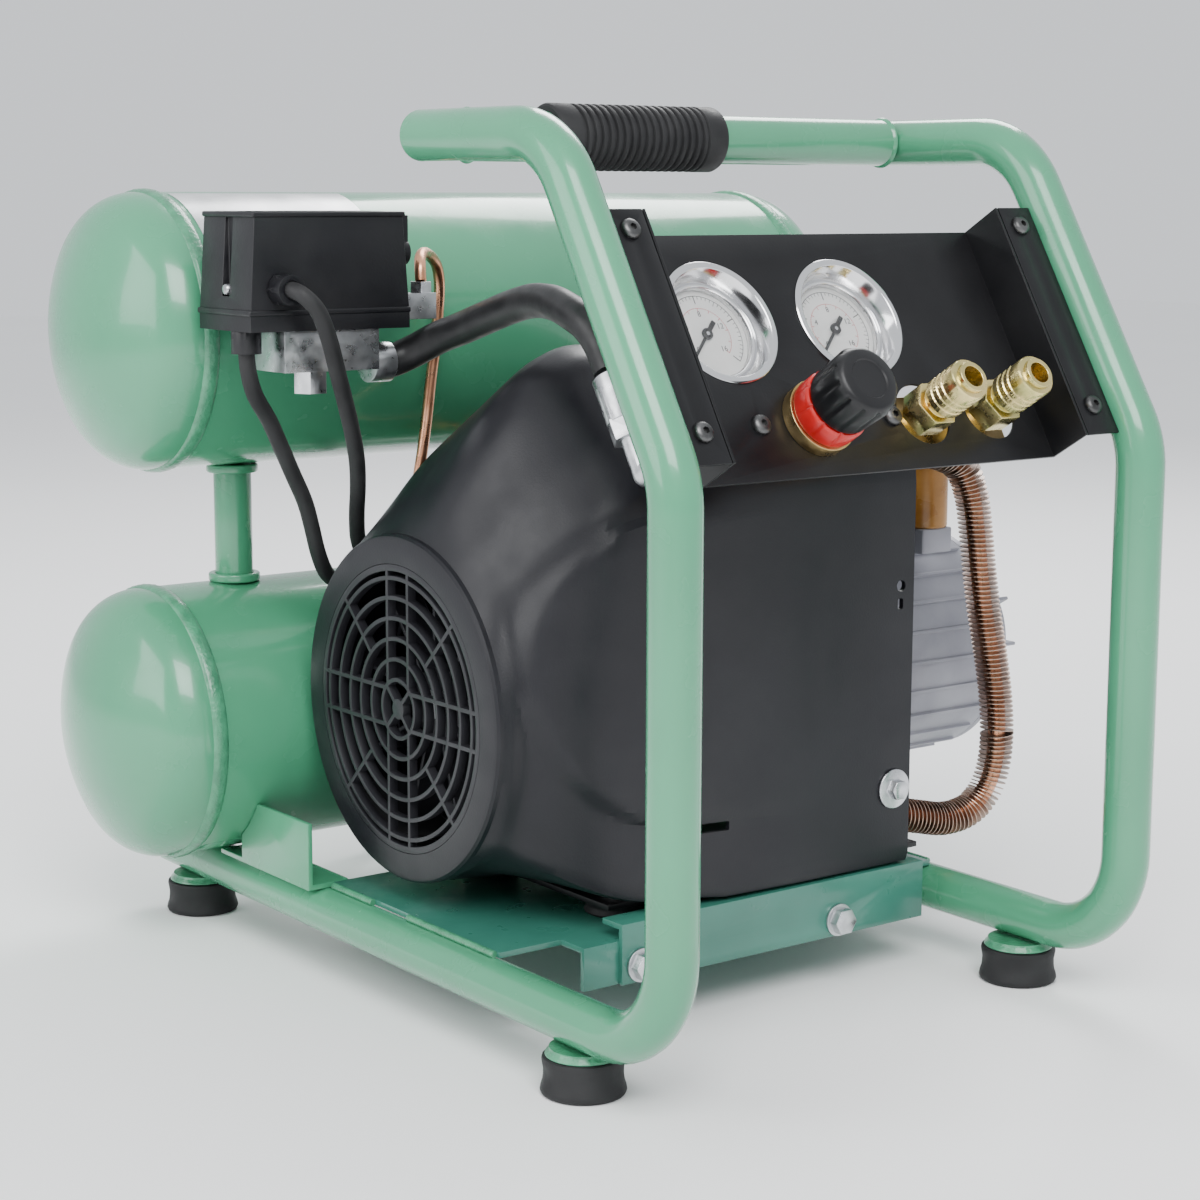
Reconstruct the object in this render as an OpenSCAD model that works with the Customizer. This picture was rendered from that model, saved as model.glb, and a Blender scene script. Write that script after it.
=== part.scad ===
// Twin-tank electric air compressor in a tubular carrying frame.
// Millimetres, +Z up. X runs along the tanks, Y from the front of the frame to the tanks.
// Inside each module, X = 0 is midway between the side frames and Y = 0 is the centreline
// of their front uprights; in_place() moves that to the part's origin, which is the
// middle of its box at floor level.

/* [Frame] */
// Diameter of the frame tube
tube_d = 25.4; // [22:0.2:30]
// Wall of the frame tube
tube_wall = 2; // [1.5:0.1:3]
// Distance between the side frames, centre to centre
frame_w = 306; // [290:1:370]
// Height of the knee, where the uprights lean back
knee_z = 304; // [290:1:320]
// Height of the top rails
top_z = 458; // [440:1:520]
// How far the slope runs back between the knee and the top rail
slope_run = 93; // [80:1:110]
// Depth at which the top rails end
top_rail_end_y = 204; // [203:1:240]
// Height of the bottom rails
rail_z = 36; // [32:1:40]
// Depth at which the bottom rails end
rail_end_y = 493; // [490:1:520]
// Radius of the tube bends at their centreline
bend_r = 50; // [40:1:60]
// Depth of the handle crossbar
crossbar_y = 185; // [170:1:195]
// Diameter of the rubber grip
grip_d = 34; // [30:1:40]
// Length of the rubber grip
grip_len = 108; // [90:1:150]
// How far the grip's middle lies left of the frame's middle
grip_shift = 38; // [0:1:55]

/* [Feet] */
// Depth of the front feet
foot_front_y = 72; // [66:1:90]
// Depth of the rear feet
foot_rear_y = 462; // [440:1:470]
// Diameter of a rubber foot at its top
foot_d = 41; // [34:1:46]
// Height of a rubber foot
foot_h = 19; // [12:1:20]

/* [Tanks] */
// Outside diameter of each tank
tank_d = 156; // [130:1:158]
// Length of a tank between its weld rings
tank_len = 435; // [360:1:520]
// Wall of the tanks
tank_wall = 2.5; // [1.5:0.1:4]
// How far the tanks' middle lies right of the frame's middle
tank_shift = 19.5; // [0:0.5:30]
// Depth of both tank axes
tank_y = 430; // [429:1:450]
// Distance between the tank axes
tank_pitch = 225; // [205:1:230]
// Diameter of the pipes that join the tanks
post_d = 22; // [18:1:28]

/* [Base] */
// Thickness of the base sheet
sheet = 3; // [2:0.5:4]
// Depth of the front face of the channel
channel_y = 120; // [110:1:125]
// Height of the channel's bottom edge
channel_bottom_z = 29; // [25:1:33]
// Height of the rubber isolators
isolator_h = 8; // [6:0.5:8]
// Diameter of the rubber isolators
isolator_d = 34; // [24:1:40]

/* [Control panel] */
// How far the panel is set back from its flanges
panel_depth = 25; // [20:1:30]
// Sheet thickness of the panel
panel_sheet = 1.5; // [1:0.1:2]
// Width of each side flange
flange_w = 22.5; // [20:0.5:26]
// Distance up the slope from the knee to the panel's bottom edge
panel_low = 7; // [5:1:10]
// Length of the panel along the slope
panel_len = 132; // [128:1:140]
// Diameter of the gauge holes
gauge_hole_d = 62; // [60:1:66]
// Outside diameter of a gauge
gauge_d = 55; // [50:1:56]
// Distance up the slope to the gauges
gauge_s = 91; // [90:1:95]
// Sideways place of the tank pressure gauge
tank_gauge_x = -72; // [-76:1:-68]
// Sideways place of the outlet pressure gauge
outlet_gauge_x = 11; // [5:1:15]
// Distance up the slope to the regulator and couplers
controls_s = 36; // [34:1:38]
// Sideways place of the regulator
regulator_x = -36; // [-40:1:-30]
// Sideways place of the first coupler
coupler_x = 36; // [32:1:40]
// Distance between the two couplers
coupler_pitch = 46; // [40:1:50]
// Bore of each coupler
coupler_bore_d = 11.2; // [9:0.1:13]
// Diameter of the coupler sleeves
sleeve_d = 22; // [20:0.5:24]
// Diameter of the regulator knob
knob_d = 35; // [30:1:38]

/* [Air end] */
// Depth of the motor and crank axis
axis_y = 250; // [246:1:254]
// Height of the motor and crank axis
axis_z = 158; // [156:1:162]
// Radius of the eccentric's throw, half the stroke
throw = 8; // [7:1:9]
// Cylinder bore
bore_d = 50; // [44:1:54]
// Distance from the connecting rod's eye to the piston
rod_len = 62; // [60:1:64]
// Diameter of the drive shaft
shaft_d = 16; // [12:1:18]
// Outside diameter of the finned motor barrel
motor_d = 138; // [130:1:144]
// Distance from the frame's middle to the end of the motor barrel
motor_end_x = 243; // [225:1:250]
// Diameter of the cooling fan
fan_d = 148; // [130:1:152]
// Diameter of the round face of the fan shroud
shroud_d = 188; // [180:1:190]
// Diameter of the grille opening
grille_d = 156; // [154:1:164]
// Wall of the fan shroud
shroud_wall = 3; // [2:0.5:4]

/* [Switch] */
// Width of the pressure switch
switch_w = 97; // [80:1:100]
// Depth of the pressure switch
switch_depth = 56; // [45:1:58]
// Height of the pressure switch
switch_h = 62; // [50:1:66]
// Left side of the pressure switch
switch_x = -205; // [-210:1:-190]

/* [Hoses and cords] */
// Diameter of the air hose
hose_d = 18; // [14:0.5:19]
// Diameter of the supply cord and motor lead
cord_d = 9; // [7:0.5:9]
// Diameter of the unloader tube
unloader_d = 6.4; // [5:0.2:8]
// Diameter of the aftercooler tube over its fins
aftercooler_d = 20; // [16:1:22]
// Diameter of the bare copper discharge tube
discharge_d = 9.5; // [8:0.5:11]

/* [Hidden] */

// Shared clearances
touch = 0.05;      // parts that are welded or clamped face to face
seat = 0.3;        // soft or curved parts resting on each other
running = 0.05;    // radial clearance of a shaft or piston
weld_h = 2;        // height of a weld bead
weld_w = 9;        // width of a weld bead

// Frame
tube_r = tube_d / 2;
side_x = frame_w / 2;
inner_x = side_x - tube_r;
slope_rise = top_z - knee_z;
slope_angle = atan2(slope_rise, slope_run);
rail_top_z = rail_z + tube_r;
crossbar_len = frame_w - tube_d - 2 * touch;

// Tanks
tank_r = tank_d / 2;
lower_tank_z = rail_top_z + tank_r + seat;
upper_tank_z = lower_tank_z + tank_pitch;
tank_left_x = tank_shift - tank_len / 2;
tank_right_x = tank_shift + tank_len / 2;
knuckle_r = 0.385 * tank_r;
crown_r = 1.6 * tank_r;
crown_back = sqrt(pow(crown_r - knuckle_r, 2) - pow(tank_r - knuckle_r, 2));
head_angle = atan2(tank_r - knuckle_r, crown_back);
post_inset = 57;
bracket_len = 124;
bracket_h = 38;

// The middle of the part's box
mid_x = tank_shift;
mid_y = (tank_y + tank_r + weld_h - tube_r) / 2;

// Base
tray_z = rail_top_z + touch;
tray_top = tray_z + sheet;
tray_front_y = channel_y + sheet + touch;
tray_back_y = 305.5;
channel_left_x = -90;
channel_right_x = 122;
channel_top_z = 61;
bolt_left_x = -78;
bolt_right_x = 58.5;
bolt_z = 38;
isolator_left_x = -58;
isolator_right_x = 128;
isolator_front_y = 168;
isolator_back_y = 285;
cradle_z = tray_top + isolator_h;
cradle_top = cradle_z + sheet;

// Control panel, in its own plane: x along X, s up the slope, t out of the slope
panel_half = inner_x - flange_w - 1;
tab_t = 4;
tab_len = 22;
flange_screw_s = [23, 128];
flange_screw_x = inner_x - 12;
centre_screw_x = [-70, 15];
gauge_face_t = -panel_depth - 8;
gauge_depth = 28;
manifold_front_t = -panel_depth - 9;
manifold_back_t = -panel_depth - 35;
manifold_low_s = controls_s - 13;
manifold_high_s = controls_s + 14;
manifold_left_x = -104;
manifold_right_x = coupler_x + coupler_pitch + 14;
nut_len = 7;
lock_ring_t = nut_len - panel_depth + 0.4;
lock_ring_len = 12;
knob_len = 25;
elbow_x = -95;
elbow_back_t = manifold_back_t - 26;
elbow_s = controls_s + 6;
hose_nut_s = 62;
hose_nut_len = 9;
ferrule_len = 24;
safety_x = -60;
safety_s = 43;
safety_len = 26;
coupler_hex_af = 22;
sleeve_back_t = -panel_depth + 12.5;
sleeve_front_t = 13;
coupler_nose_t = 15.5;
sleeve_travel = 3.5;
coupler_bore_len = 24;

// Air end
shaft_r = shaft_d / 2;
crank_x = 0;
eccentric_r = throw + shaft_r + 1;
big_end_r = eccentric_r + 5;
web_w = 10;
crankcase_r = throw + big_end_r + 11;
crankcase_in_r = crankcase_r - 6;
crankcase_half = 28;
crankcase_wall = 8;
bearing_r = 16;
bore_r = bore_d / 2;
piston_z = axis_z + throw + rod_len;
piston_h = 8;
piston_r = bore_r - throw - 0.6;
cylinder_r = bore_r + 7;
cylinder_top_z = piston_z + piston_h + 1;
head_h = 26;
motor_r = motor_d / 2;
barrel_r = motor_r - 1.5;
motor_start_x = 60;
motor_foot_x = 128;
stator_x = [95, 205];
stator_out_r = barrel_r - 6;
rotor_r = 41;
end_bell_r = 48;
end_bell_len = 30;
shroud_left_x = -142;
shroud_right_x = 111;
shroud_box_x = -50;
shroud_mid_x = [-112, -84];
shroud_mid_u = [0.6, 0.87];
shroud_r = shroud_d / 2;
shroud_z = channel_top_z + seat;
grille_r = grille_d / 2;
grille_t = 5;
shroud_screw_x = 97.5;
shroud_screw_z = 106;
fan_x = -108;
fan_w = 22;

// Switch
switch_z = 358;
switch_front_y = tank_y - tank_r - 8 - switch_depth;
switch_back_y = switch_front_y + switch_depth;
switch_base_h = 9;
manifold_z = switch_z - 22;
lever_z = switch_z + 40;
lever_y = switch_front_y + 14;
gland_len = 12;
unloader_x = -93;
unloader_y = 300;
drain_x = 20;
drain_z = 28;

// Routes of the hose, leads and tubes, chosen by hand
hose_route = [
    [-122, 305, 339], [-110, 305, 339], [-99, 300, 344], [-91, 286, 352], [-87, 268, 358],
    [-86, 245, 365], [-87, 222, 371], [-89, 200, 375], [-92, 178, 375], [-95, 158, 371],
    [-96, 142, 365], [-95, 132, 355], [-95, 124.5, 343.5]
];
unloader_route = [
    [-93, 300, 382.5], [-92, 302, 390], [-88, 308, 395], [-80, 317, 397], [-70, 326, 395], [-61, 333, 389],
    [-56, 338, 378], [-55, 341, 364], [-57, 341, 345], [-61, 340, 325], [-65, 338, 305],
    [-69, 337, 285], [-70, 341, 266], [-64, 352, 250], [-50, 366, 240], [-30, 368, 236],
    [-8, 366, 233], [5, 371, 230.5], [9, 385.6, 230]
];
motor_lead_route = [
    [-187, 286, 380], [-187, 276, 380], [-184, 269, 377], [-177, 267, 369],
    [-169, 270, 354], [-160, 277, 336], [-151, 284, 318], [-143, 291, 302],
    [-135, 300, 286], [-128, 311, 270], [-121, 324, 254], [-112, 338, 238],
    [-103, 346, 225], [-96, 346, 216], [-95, 338, 213], [-95, 331, 213]
];
supply_route = [
    [-197, 308, 356], [-197, 308, 346], [-195, 309.5, 335],
    [-190, 312, 323], [-179, 317, 309], [-169, 321, 292],
    [-160, 325, 277], [-151, 329, 262], [-144, 334, 247], [-137, 340, 232], [-128, 347, 219],
    [-115, 357, 211], [-98, 370, 208], [-82, 384, 209], [-68, 400, 211], [-58, 416, 212],
    [-50, 432, 212], [-43, 448, 211], [-37, 464, 207], [-32, 480, 199], [-28, 495, 184],
    [-24, 507, 165], [-20, 514, 143], [-15, 517, 118], [-9, 518, 92], [-2, 518, 66],
    [6, 519, 44], [16, 519, 26], [30, 519, 12], [48, 519, 6], [72, 519, 4.8], [110, 519, 4.7],
    [150, 519, 4.7]
];
aftercooler_route = [
    [46, 242, 251], [54, 240, 252], [66, 226, 260], [80, 205, 273], [100, 184, 284], [125, 168, 289],
    [152, 156, 287], [172, 151, 279], [182, 150, 262], [187, 150, 240], [191, 150, 215],
    [196, 150, 190], [202, 150, 165], [207, 150, 140], [209, 150, 118], [207, 150, 99],
    [201, 151, 84], [189, 152, 74], [171, 154, 71], [150, 156, 75], [126, 160, 80],
    [108, 168, 81]
];
discharge_route = [
    [110, 167, 81], [99, 176, 80], [93, 190, 78], [91, 210, 76], [90, 235, 75],
    [90, 260, 74], [88, 285, 74], [84, 306, 75], [77, 327, 79], [68, 341, 90],
    [61, 345, 110], [55, 346, 135], [49, 346, 160], [43, 347, 185], [37, 351, 208],
    [31, 360, 230], [26, 373, 245], [22, 386, 251], [20, 393.5, 248], [20, 395, 239.6]
];
coil_centre = [150, 585];
coil_in_r = 43;
coil_out_r = 61;

// ---- helpers ----

// Moves frame coordinates to the part's origin
module in_place() {
    translate([-mid_x, -mid_y, 0]) children();
}

// Places children in the plane of the sloping uprights
module on_slope(x = 0, s = 0, t = 0) {
    translate([0, 0, knee_z]) rotate([slope_angle, 0, 0]) translate([x, s, t]) children();
}

// Cylinder along +X, starting at x
module x_rod(x, len, r) {
    translate([x, 0, 0]) rotate([0, 90, 0]) cylinder(h = len, r = r, $fn = 64);
}

// Moves to the motor axis
module on_axis() {
    translate([0, axis_y, axis_z]) children();
}

// Ring between two radii along +X
module x_ring(x, len, r_out, r_in) {
    difference() {
        x_rod(x, len, r_out);
        x_rod(x - 1, len + 2, r_in);
    }
}

// Hexagonal bar along +Z, measured across its flats
module hex_bar(h, af) {
    cylinder(h = h, r = af / 2 / cos(30), $fn = 6);
}

// A screw head with a washer, facing +Z
module washer_screw(washer_d, head_af, head_h) {
    cylinder(h = 1.6, r = washer_d / 2, $fn = 40);
    translate([0, 0, 1.6]) hex_bar(head_h, head_af);
}

function unit(v) = v / norm(v);
function tangent(path, i) =
    unit(path[min(i + 1, len(path) - 1)] - path[max(i - 1, 0)]);
// Carries the previous side direction along, so that the sweep doesn't twist
function carried(side, dir) = unit(side - (side * dir) * dir);
function sides(path, i, side) =
    i == len(path) ? [] : let (s = carried(side, tangent(path, i)))
    concat([s], sides(path, i + 1, s));
function start_side(path) =
    let (d = tangent(path, 0)) carried(abs(d[2]) < 0.8 ? [0, 0, 1] : [1, 0, 0], d);
// Smooth points between the hand-chosen ones
function spline(p, q, r, s, u) =
    0.5 * ((2 * q) + (r - p) * u + (2 * p - 5 * q + 4 * r - s) * u * u
    + (3 * q - p - 3 * r + s) * u * u * u);
function smooth(path, steps) = [
    for (i = [0 : len(path) - 2], k = [0 : steps - 1])
        spline(path[max(i - 1, 0)], path[i], path[i + 1],
            path[min(i + 2, len(path) - 1)], k / steps),
    path[len(path) - 1]
];

// A round tube swept along a path
module swept(path, d, n = 8) {
    side = sides(path, 0, start_side(path));
    rings = len(path);
    points = [for (i = [0 : rings - 1], k = [0 : n - 1])
        path[i] + d / 2 * (cos(360 * k / n) * side[i]
        + sin(360 * k / n) * cross(tangent(path, i), side[i]))];
    walls = [for (i = [0 : rings - 2], k = [0 : n - 1])
        [i * n + k, (i + 1) * n + k, (i + 1) * n + (k + 1) % n, i * n + (k + 1) % n]];
    ends = [[for (k = [0 : n - 1]) k], [for (k = [n - 1 : -1 : 0]) (rings - 1) * n + k]];
    polyhedron(points, concat(walls, ends), convexity = 6);
}

// ---- frame ----

// One straight tube stretch in the YZ plane from p, at an angle up from +Y
module stretch(p, angle, len) {
    translate([0, p[0], p[1]]) rotate([angle - 90, 0, 0]) difference() {
        translate([0, 0, touch]) cylinder(h = len - 2 * touch, r = tube_r, $fn = 48);
        translate([0, 0, -1]) cylinder(h = len + 2, r = tube_r - tube_wall, $fn = 48);
    }
}

// A bend in the YZ plane: centre, first angle and sweep, measured from +Y towards +Z
module bend(centre, from, sweep) {
    translate([0, centre[0], centre[1]]) rotate([90, 0, 90]) rotate([0, 0, from])
        rotate_extrude(angle = sweep, $fn = 96) translate([bend_r, 0]) difference() {
            circle(r = tube_r, $fn = 48);
            circle(r = tube_r - tube_wall, $fn = 48);
        }
}

// The bent tube of one side frame
module side_path() {
    knee_turn = 90 - slope_angle;
    knee_cut = bend_r * tan(knee_turn / 2);
    top_cut = bend_r * tan(slope_angle / 2);
    slope_len = slope_run / cos(slope_angle);
    sy = cos(slope_angle);
    sz = sin(slope_angle);
    stretch([bend_r, rail_z], 0, rail_end_y - bend_r);
    bend([bend_r, rail_z + bend_r], 180, 90);
    stretch([0, rail_z + bend_r], 90, knee_z - knee_cut - rail_z - bend_r);
    bend([bend_r, knee_z - knee_cut], 180 - knee_turn, knee_turn);
    stretch([knee_cut * sy, knee_z + knee_cut * sz], slope_angle, slope_len - knee_cut - top_cut);
    bend([slope_run + top_cut, top_z - bend_r], 90, slope_angle);
    stretch([slope_run + top_cut, top_z], 0, top_rail_end_y - slope_run - top_cut);
}

// Tab that carries one corner of the control panel
module panel_tab(s) {
    on_slope(inner_x - tab_len, s - 9, -panel_sheet - tab_t - touch)
        difference() {
            cube([tab_len + 1.8, 18, tab_t]);
            translate([tab_len - 12, 9, -1]) cylinder(h = tab_t + 2, r = 2.6, $fn = 24);
        }
}

module side_frame() {
    color("mediumaquamarine") {
        translate([side_x, 0, 0]) side_path();
        translate([side_x, top_rail_end_y + touch, top_z]) rotate([-90, 0, 0])
            cylinder(h = 3, r1 = tube_r, r2 = tube_r - 2, $fn = 48);
        for (s = flange_screw_s) panel_tab(s);
    }
}

module right_side_frame() {
    in_place() side_frame();
}

module left_side_frame() {
    in_place() mirror([1, 0, 0]) side_frame();
}

module handle_crossbar() {
    color("mediumaquamarine") in_place() translate([0, crossbar_y, top_z])
        x_ring(-crossbar_len / 2, crossbar_len, tube_r, tube_r - tube_wall);
}

module handle_grip() {
    color([0.13, 0.13, 0.14]) in_place() translate([-grip_shift, crossbar_y, top_z])
        x_ring(-grip_len / 2, grip_len, grip_d / 2, tube_r + 0.1);
}

// Repeats children at the four feet, as seen from the floor
module at_feet() {
    for (x = [-side_x + 3, side_x - 3], y = [foot_front_y, foot_rear_y])
        translate([x, y, 0]) children();
}

module foot_cups() {
    cup_h = rail_z - tube_r - foot_h - 2 * touch;
    color("mediumaquamarine") in_place() at_feet() translate([0, 0, foot_h + touch])
        cylinder(h = cup_h, r1 = foot_d / 2 - 2, r2 = foot_d / 2 - 4, $fn = 48);
}

module rubber_feet() {
    color([0.16, 0.16, 0.17]) in_place() at_feet() rotate_extrude($fn = 64)
        polygon([
            [0, 0], [foot_d / 2 - 1, 0], [foot_d / 2 + 1, 2], [foot_d / 2 - 0.5, foot_h / 2],
            [foot_d / 2, foot_h - 1], [foot_d / 2 - 1, foot_h], [0, foot_h]
        ]);
}

// Angle brackets that carry the lower tank on the rails
module tank_brackets() {
    heel_y = tank_y - bracket_len;
    color("mediumaquamarine") in_place()
        for (side = [0, 1]) mirror([side, 0, 0]) difference() {
            translate([side_x - 13, heel_y, tray_z]) union() {
                cube([26, bracket_len - 23, sheet]);
                translate([23, 0, 0]) cube([sheet, 76, bracket_h]);
            }
            translate([0, tank_y, lower_tank_z]) x_rod(side_x - 20, 60, tank_r + seat);
        }
}

// ---- base ----

module base_tray() {
    wing_x = side_x - 3;
    lip_x = 112;
    color([0.3, 0.52, 0.46]) in_place() difference() {
        union() {
            translate([-wing_x, tray_front_y + 20, tray_z])
                cube([2 * wing_x, tray_back_y - tray_front_y - 20, sheet]);
            translate([-lip_x, tray_front_y, tray_z]) cube([2 * lip_x, 21, sheet]);
            translate([-lip_x, tray_front_y, channel_bottom_z])
                cube([2 * lip_x, sheet, tray_z - channel_bottom_z]);
        }
        for (x = [isolator_left_x, isolator_right_x], y = [isolator_front_y, isolator_back_y])
            translate([x, y, tray_z - 1]) cylinder(h = sheet + 2, r = 4.2, $fn = 32);
        for (x = [bolt_left_x, bolt_right_x])
            translate([x, tray_front_y - 1, bolt_z]) rotate([-90, 0, 0])
                cylinder(h = sheet + 2, r = 4.2, $fn = 32);
    }
}

module front_channel() {
    w = channel_right_x - channel_left_x;
    color([0.3, 0.52, 0.46]) in_place() difference() {
        union() {
            translate([channel_left_x, channel_y, channel_bottom_z])
                cube([w, sheet, channel_top_z - channel_bottom_z]);
            translate([channel_left_x, channel_y + sheet, channel_top_z - sheet])
                cube([w, 14, sheet]);
        }
        for (x = [bolt_left_x, bolt_right_x])
            translate([x, channel_y - 1, bolt_z]) rotate([-90, 0, 0])
                cylinder(h = sheet + 2, r = 4.2, $fn = 32);
    }
}

module base_bolts() {
    color("silver") in_place() {
        for (x = [bolt_left_x, bolt_right_x])
            translate([x, channel_y - touch, bolt_z]) rotate([90, 0, 0]) {
                washer_screw(18, 13, 5.5);
                translate([0, 0, -2 * sheet - 4]) cylinder(h = 2 * sheet + 4, r = 3.9, $fn = 32);
            }
        for (x = [isolator_left_x, isolator_right_x], y = [isolator_front_y, isolator_back_y])
            translate([x, y, 0]) {
                translate([0, 0, cradle_top + touch]) hex_bar(5, 13);
                translate([0, 0, tray_z - 7]) cylinder(h = cradle_top - tray_z + 8, r = 3.9, $fn = 32);
                translate([0, 0, tray_z - 6.5 - touch]) hex_bar(6.5, 13);
            }
    }
}

module mount_isolators() {
    color([0.15, 0.15, 0.16]) in_place()
        for (x = [isolator_left_x, isolator_right_x], y = [isolator_front_y, isolator_back_y])
            translate([x, y, tray_top + touch]) difference() {
                cylinder(h = isolator_h - 2 * touch, r = isolator_d / 2, $fn = 48);
                translate([0, 0, -1]) cylinder(h = isolator_h + 2, r = 4, $fn = 32);
            }
}

// The plate and its two saddles that carry the crankcase and the motor
module motor_cradle() {
    plate_x = [isolator_left_x - 20, isolator_right_x + 16];
    plate_y = [isolator_front_y - 20, isolator_back_y + 18];
    color([0.2, 0.2, 0.21]) in_place() {
        difference() {
            translate([plate_x[0], plate_y[0], cradle_z])
                cube([plate_x[1] - plate_x[0], plate_y[1] - plate_y[0], sheet]);
            for (x = [isolator_left_x, isolator_right_x], y = [isolator_front_y, isolator_back_y])
                translate([x, y, cradle_z - 1]) cylinder(h = sheet + 2, r = 4.2, $fn = 32);
        }
        difference() {
            union() {
                translate([-18, axis_y - 34, cradle_top]) cube([36, 68, axis_z - cradle_top - 30]);
                translate([motor_foot_x - 12, axis_y - 26, cradle_top])
                    cube([24, 52, axis_z - cradle_top - 40]);
            }
            on_axis() {
                x_rod(-40, 80, crankcase_r + touch);
                x_rod(motor_foot_x - 20, 40, motor_r + touch);
            }
        }
    }
}

// ---- tanks ----

// Outline of a dished head of radius r: knuckle, then crown, then the axis
function head_outline(r, crown, knuckle) = concat(
    [for (k = [0 : 6]) let (a = 90 - (90 - head_angle) * k / 6)
        [knuckle * cos(a), r - knuckle + knuckle * sin(a)]],
    [for (k = [1 : 6]) let (a = head_angle * (1 - k / 6))
        [crown * cos(a) - crown_back, crown * sin(a)]]
);

// Raised weld bead round a tank
module weld_ring() {
    rotate([0, 90, 0]) rotate_extrude($fn = 96)
        polygon([
            [tank_r + touch, -weld_w / 2], [tank_r + weld_h * 0.8, -weld_w / 4],
            [tank_r + weld_h, 0], [tank_r + weld_h * 0.8, weld_w / 4],
            [tank_r + touch, weld_w / 2]
        ]);
}

module tank_shell(z) {
    color("mediumaquamarine") in_place() translate([0, tank_y, z]) {
        x_ring(tank_left_x, tank_len, tank_r, tank_r - tank_wall);
        for (x = [tank_left_x + weld_w / 2, tank_right_x - weld_w / 2])
            translate([x, 0, 0]) weld_ring();
    }
}

module upper_tank_shell() {
    tank_shell(upper_tank_z);
}

module lower_tank_shell() {
    tank_shell(lower_tank_z);
}

module tank_heads() {
    color("mediumaquamarine") in_place()
        for (z = [lower_tank_z, upper_tank_z]) {
            translate([tank_right_x + touch, tank_y, z]) rotate([0, 90, 0]) head_turned();
            translate([tank_left_x - touch, tank_y, z]) mirror([1, 0, 0]) rotate([0, 90, 0])
                head_turned();
        }
}

// The head with its axis along +Z
module head_turned() {
    outer = head_outline(tank_r, crown_r, knuckle_r);
    inner = head_outline(tank_r - tank_wall, crown_r - tank_wall, knuckle_r - tank_wall);
    last = len(inner) - 1;
    rotate_extrude($fn = 96)
        polygon([
            for (p = outer) [p[1], p[0]],
            for (k = [last : -1 : 0]) [inner[k][1], inner[k][0]]
        ]);
}

module tank_link_pipes() {
    low = lower_tank_z + tank_r + touch;
    high = upper_tank_z - tank_r - touch;
    color("mediumaquamarine") in_place()
        for (x = [tank_left_x + post_inset, tank_right_x - post_inset])
            translate([x, tank_y, 0]) {
                translate([0, 0, low + 1]) difference() {
                    cylinder(h = high - low - 2, r = post_d / 2, $fn = 48);
                    translate([0, 0, -1]) cylinder(h = high - low, r = post_d / 2 - 2.5, $fn = 48);
                }
                for (z = [low, high - 5]) translate([0, 0, z]) difference() {
                    cylinder(h = 5, r = post_d / 2 + 4, $fn = 48);
                    translate([0, 0, -1]) cylinder(h = 7, r = post_d / 2 + touch, $fn = 48);
                }
            }
}

// Brass bodies screwed into the tanks: check valve and drain
module tank_fittings() {
    color("goldenrod") in_place() difference() {
        union() {
            translate([20, tank_y - 35, lower_tank_z + 60]) cylinder(h = 18, r = 13, $fn = 48);
            translate([20, tank_y - 35, lower_tank_z + 76]) hex_bar(14, 22);
            translate([20, tank_y - 35, lower_tank_z + 88]) cylinder(h = 24, r = 9, $fn = 48);
            translate([9, tank_y - 44, lower_tank_z + 103]) rotate([-90, 0, 0])
                cylinder(h = 9, r = unloader_d / 2 + 1.5, $fn = 32);
            translate([drain_x, tank_y, drain_z]) cylinder(h = 24, r = 8, $fn = 48);
            translate([drain_x, tank_y, drain_z - 9]) cylinder(h = 12, r = 3, $fn = 32);
        }
        translate([0, tank_y, lower_tank_z]) x_rod(-40, 160, tank_r + touch);
    }
}

module drain_tap() {
    color("goldenrod") in_place() translate([drain_x, tank_y, drain_z - 7.5]) difference() {
        union() {
            cylinder(h = 7, r = 6, $fn = 48);
            translate([-13, -2, 0]) cube([26, 4, 5]);
        }
        translate([0, 0, -1]) cylinder(h = 9, r = 3 + running, $fn = 32);
    }
}

// Blank plate curved round the front of the upper tank
module tank_label() {
    color("silver") in_place() translate([0, tank_y, upper_tank_z]) intersection() {
        x_ring(tank_left_x + 12, 110, tank_r + 0.6, tank_r + touch);
        translate([tank_left_x + 11, -tank_r - 5, 34]) cube([112, tank_r - 10, 46]);
    }
}

// ---- control panel ----

module control_panel() {
    wall_h = panel_depth;
    outer_half = inner_x - seat;
    color([0.13, 0.13, 0.14]) in_place() difference() {
        on_slope(0, panel_low, 0) union() {
            for (side = [0, 1]) mirror([side, 0, 0]) {
                translate([outer_half - flange_w, 0, -panel_sheet]) cube([flange_w, panel_len, panel_sheet]);
                translate([panel_half - panel_sheet, 0, -wall_h - panel_sheet])
                    cube([panel_sheet, panel_len, wall_h + panel_sheet]);
            }
            translate([-panel_half, 0, -wall_h - panel_sheet])
                cube([2 * panel_half, panel_len, panel_sheet]);
        }
        for (x = [tank_gauge_x, outlet_gauge_x])
            on_slope(x, gauge_s, -wall_h - 5) cylinder(h = 10, r = gauge_hole_d / 2, $fn = 96);
        on_slope(regulator_x, controls_s, -wall_h - 5) cylinder(h = 10, r = 16, $fn = 64);
        for (x = [coupler_x, coupler_x + coupler_pitch])
            on_slope(x, controls_s, -wall_h - 5) cylinder(h = 10, r = 16.5, $fn = 64);
        for (side = [-1, 1], s = flange_screw_s)
            on_slope(side * flange_screw_x, s, -5) cylinder(h = 10, r = 2.6, $fn = 24);
        for (x = centre_screw_x)
            on_slope(x, controls_s, -wall_h - 5) cylinder(h = 10, r = 2.6, $fn = 24);
    }
}

// Button-headed screw with its shank pointing back into the slope
module panel_screw(len) {
    translate([0, 0, touch]) cylinder(h = 3, r = 5, $fn = 40);
    translate([0, 0, -len]) cylinder(h = len + 1, r = 2.4, $fn = 24);
}

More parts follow.
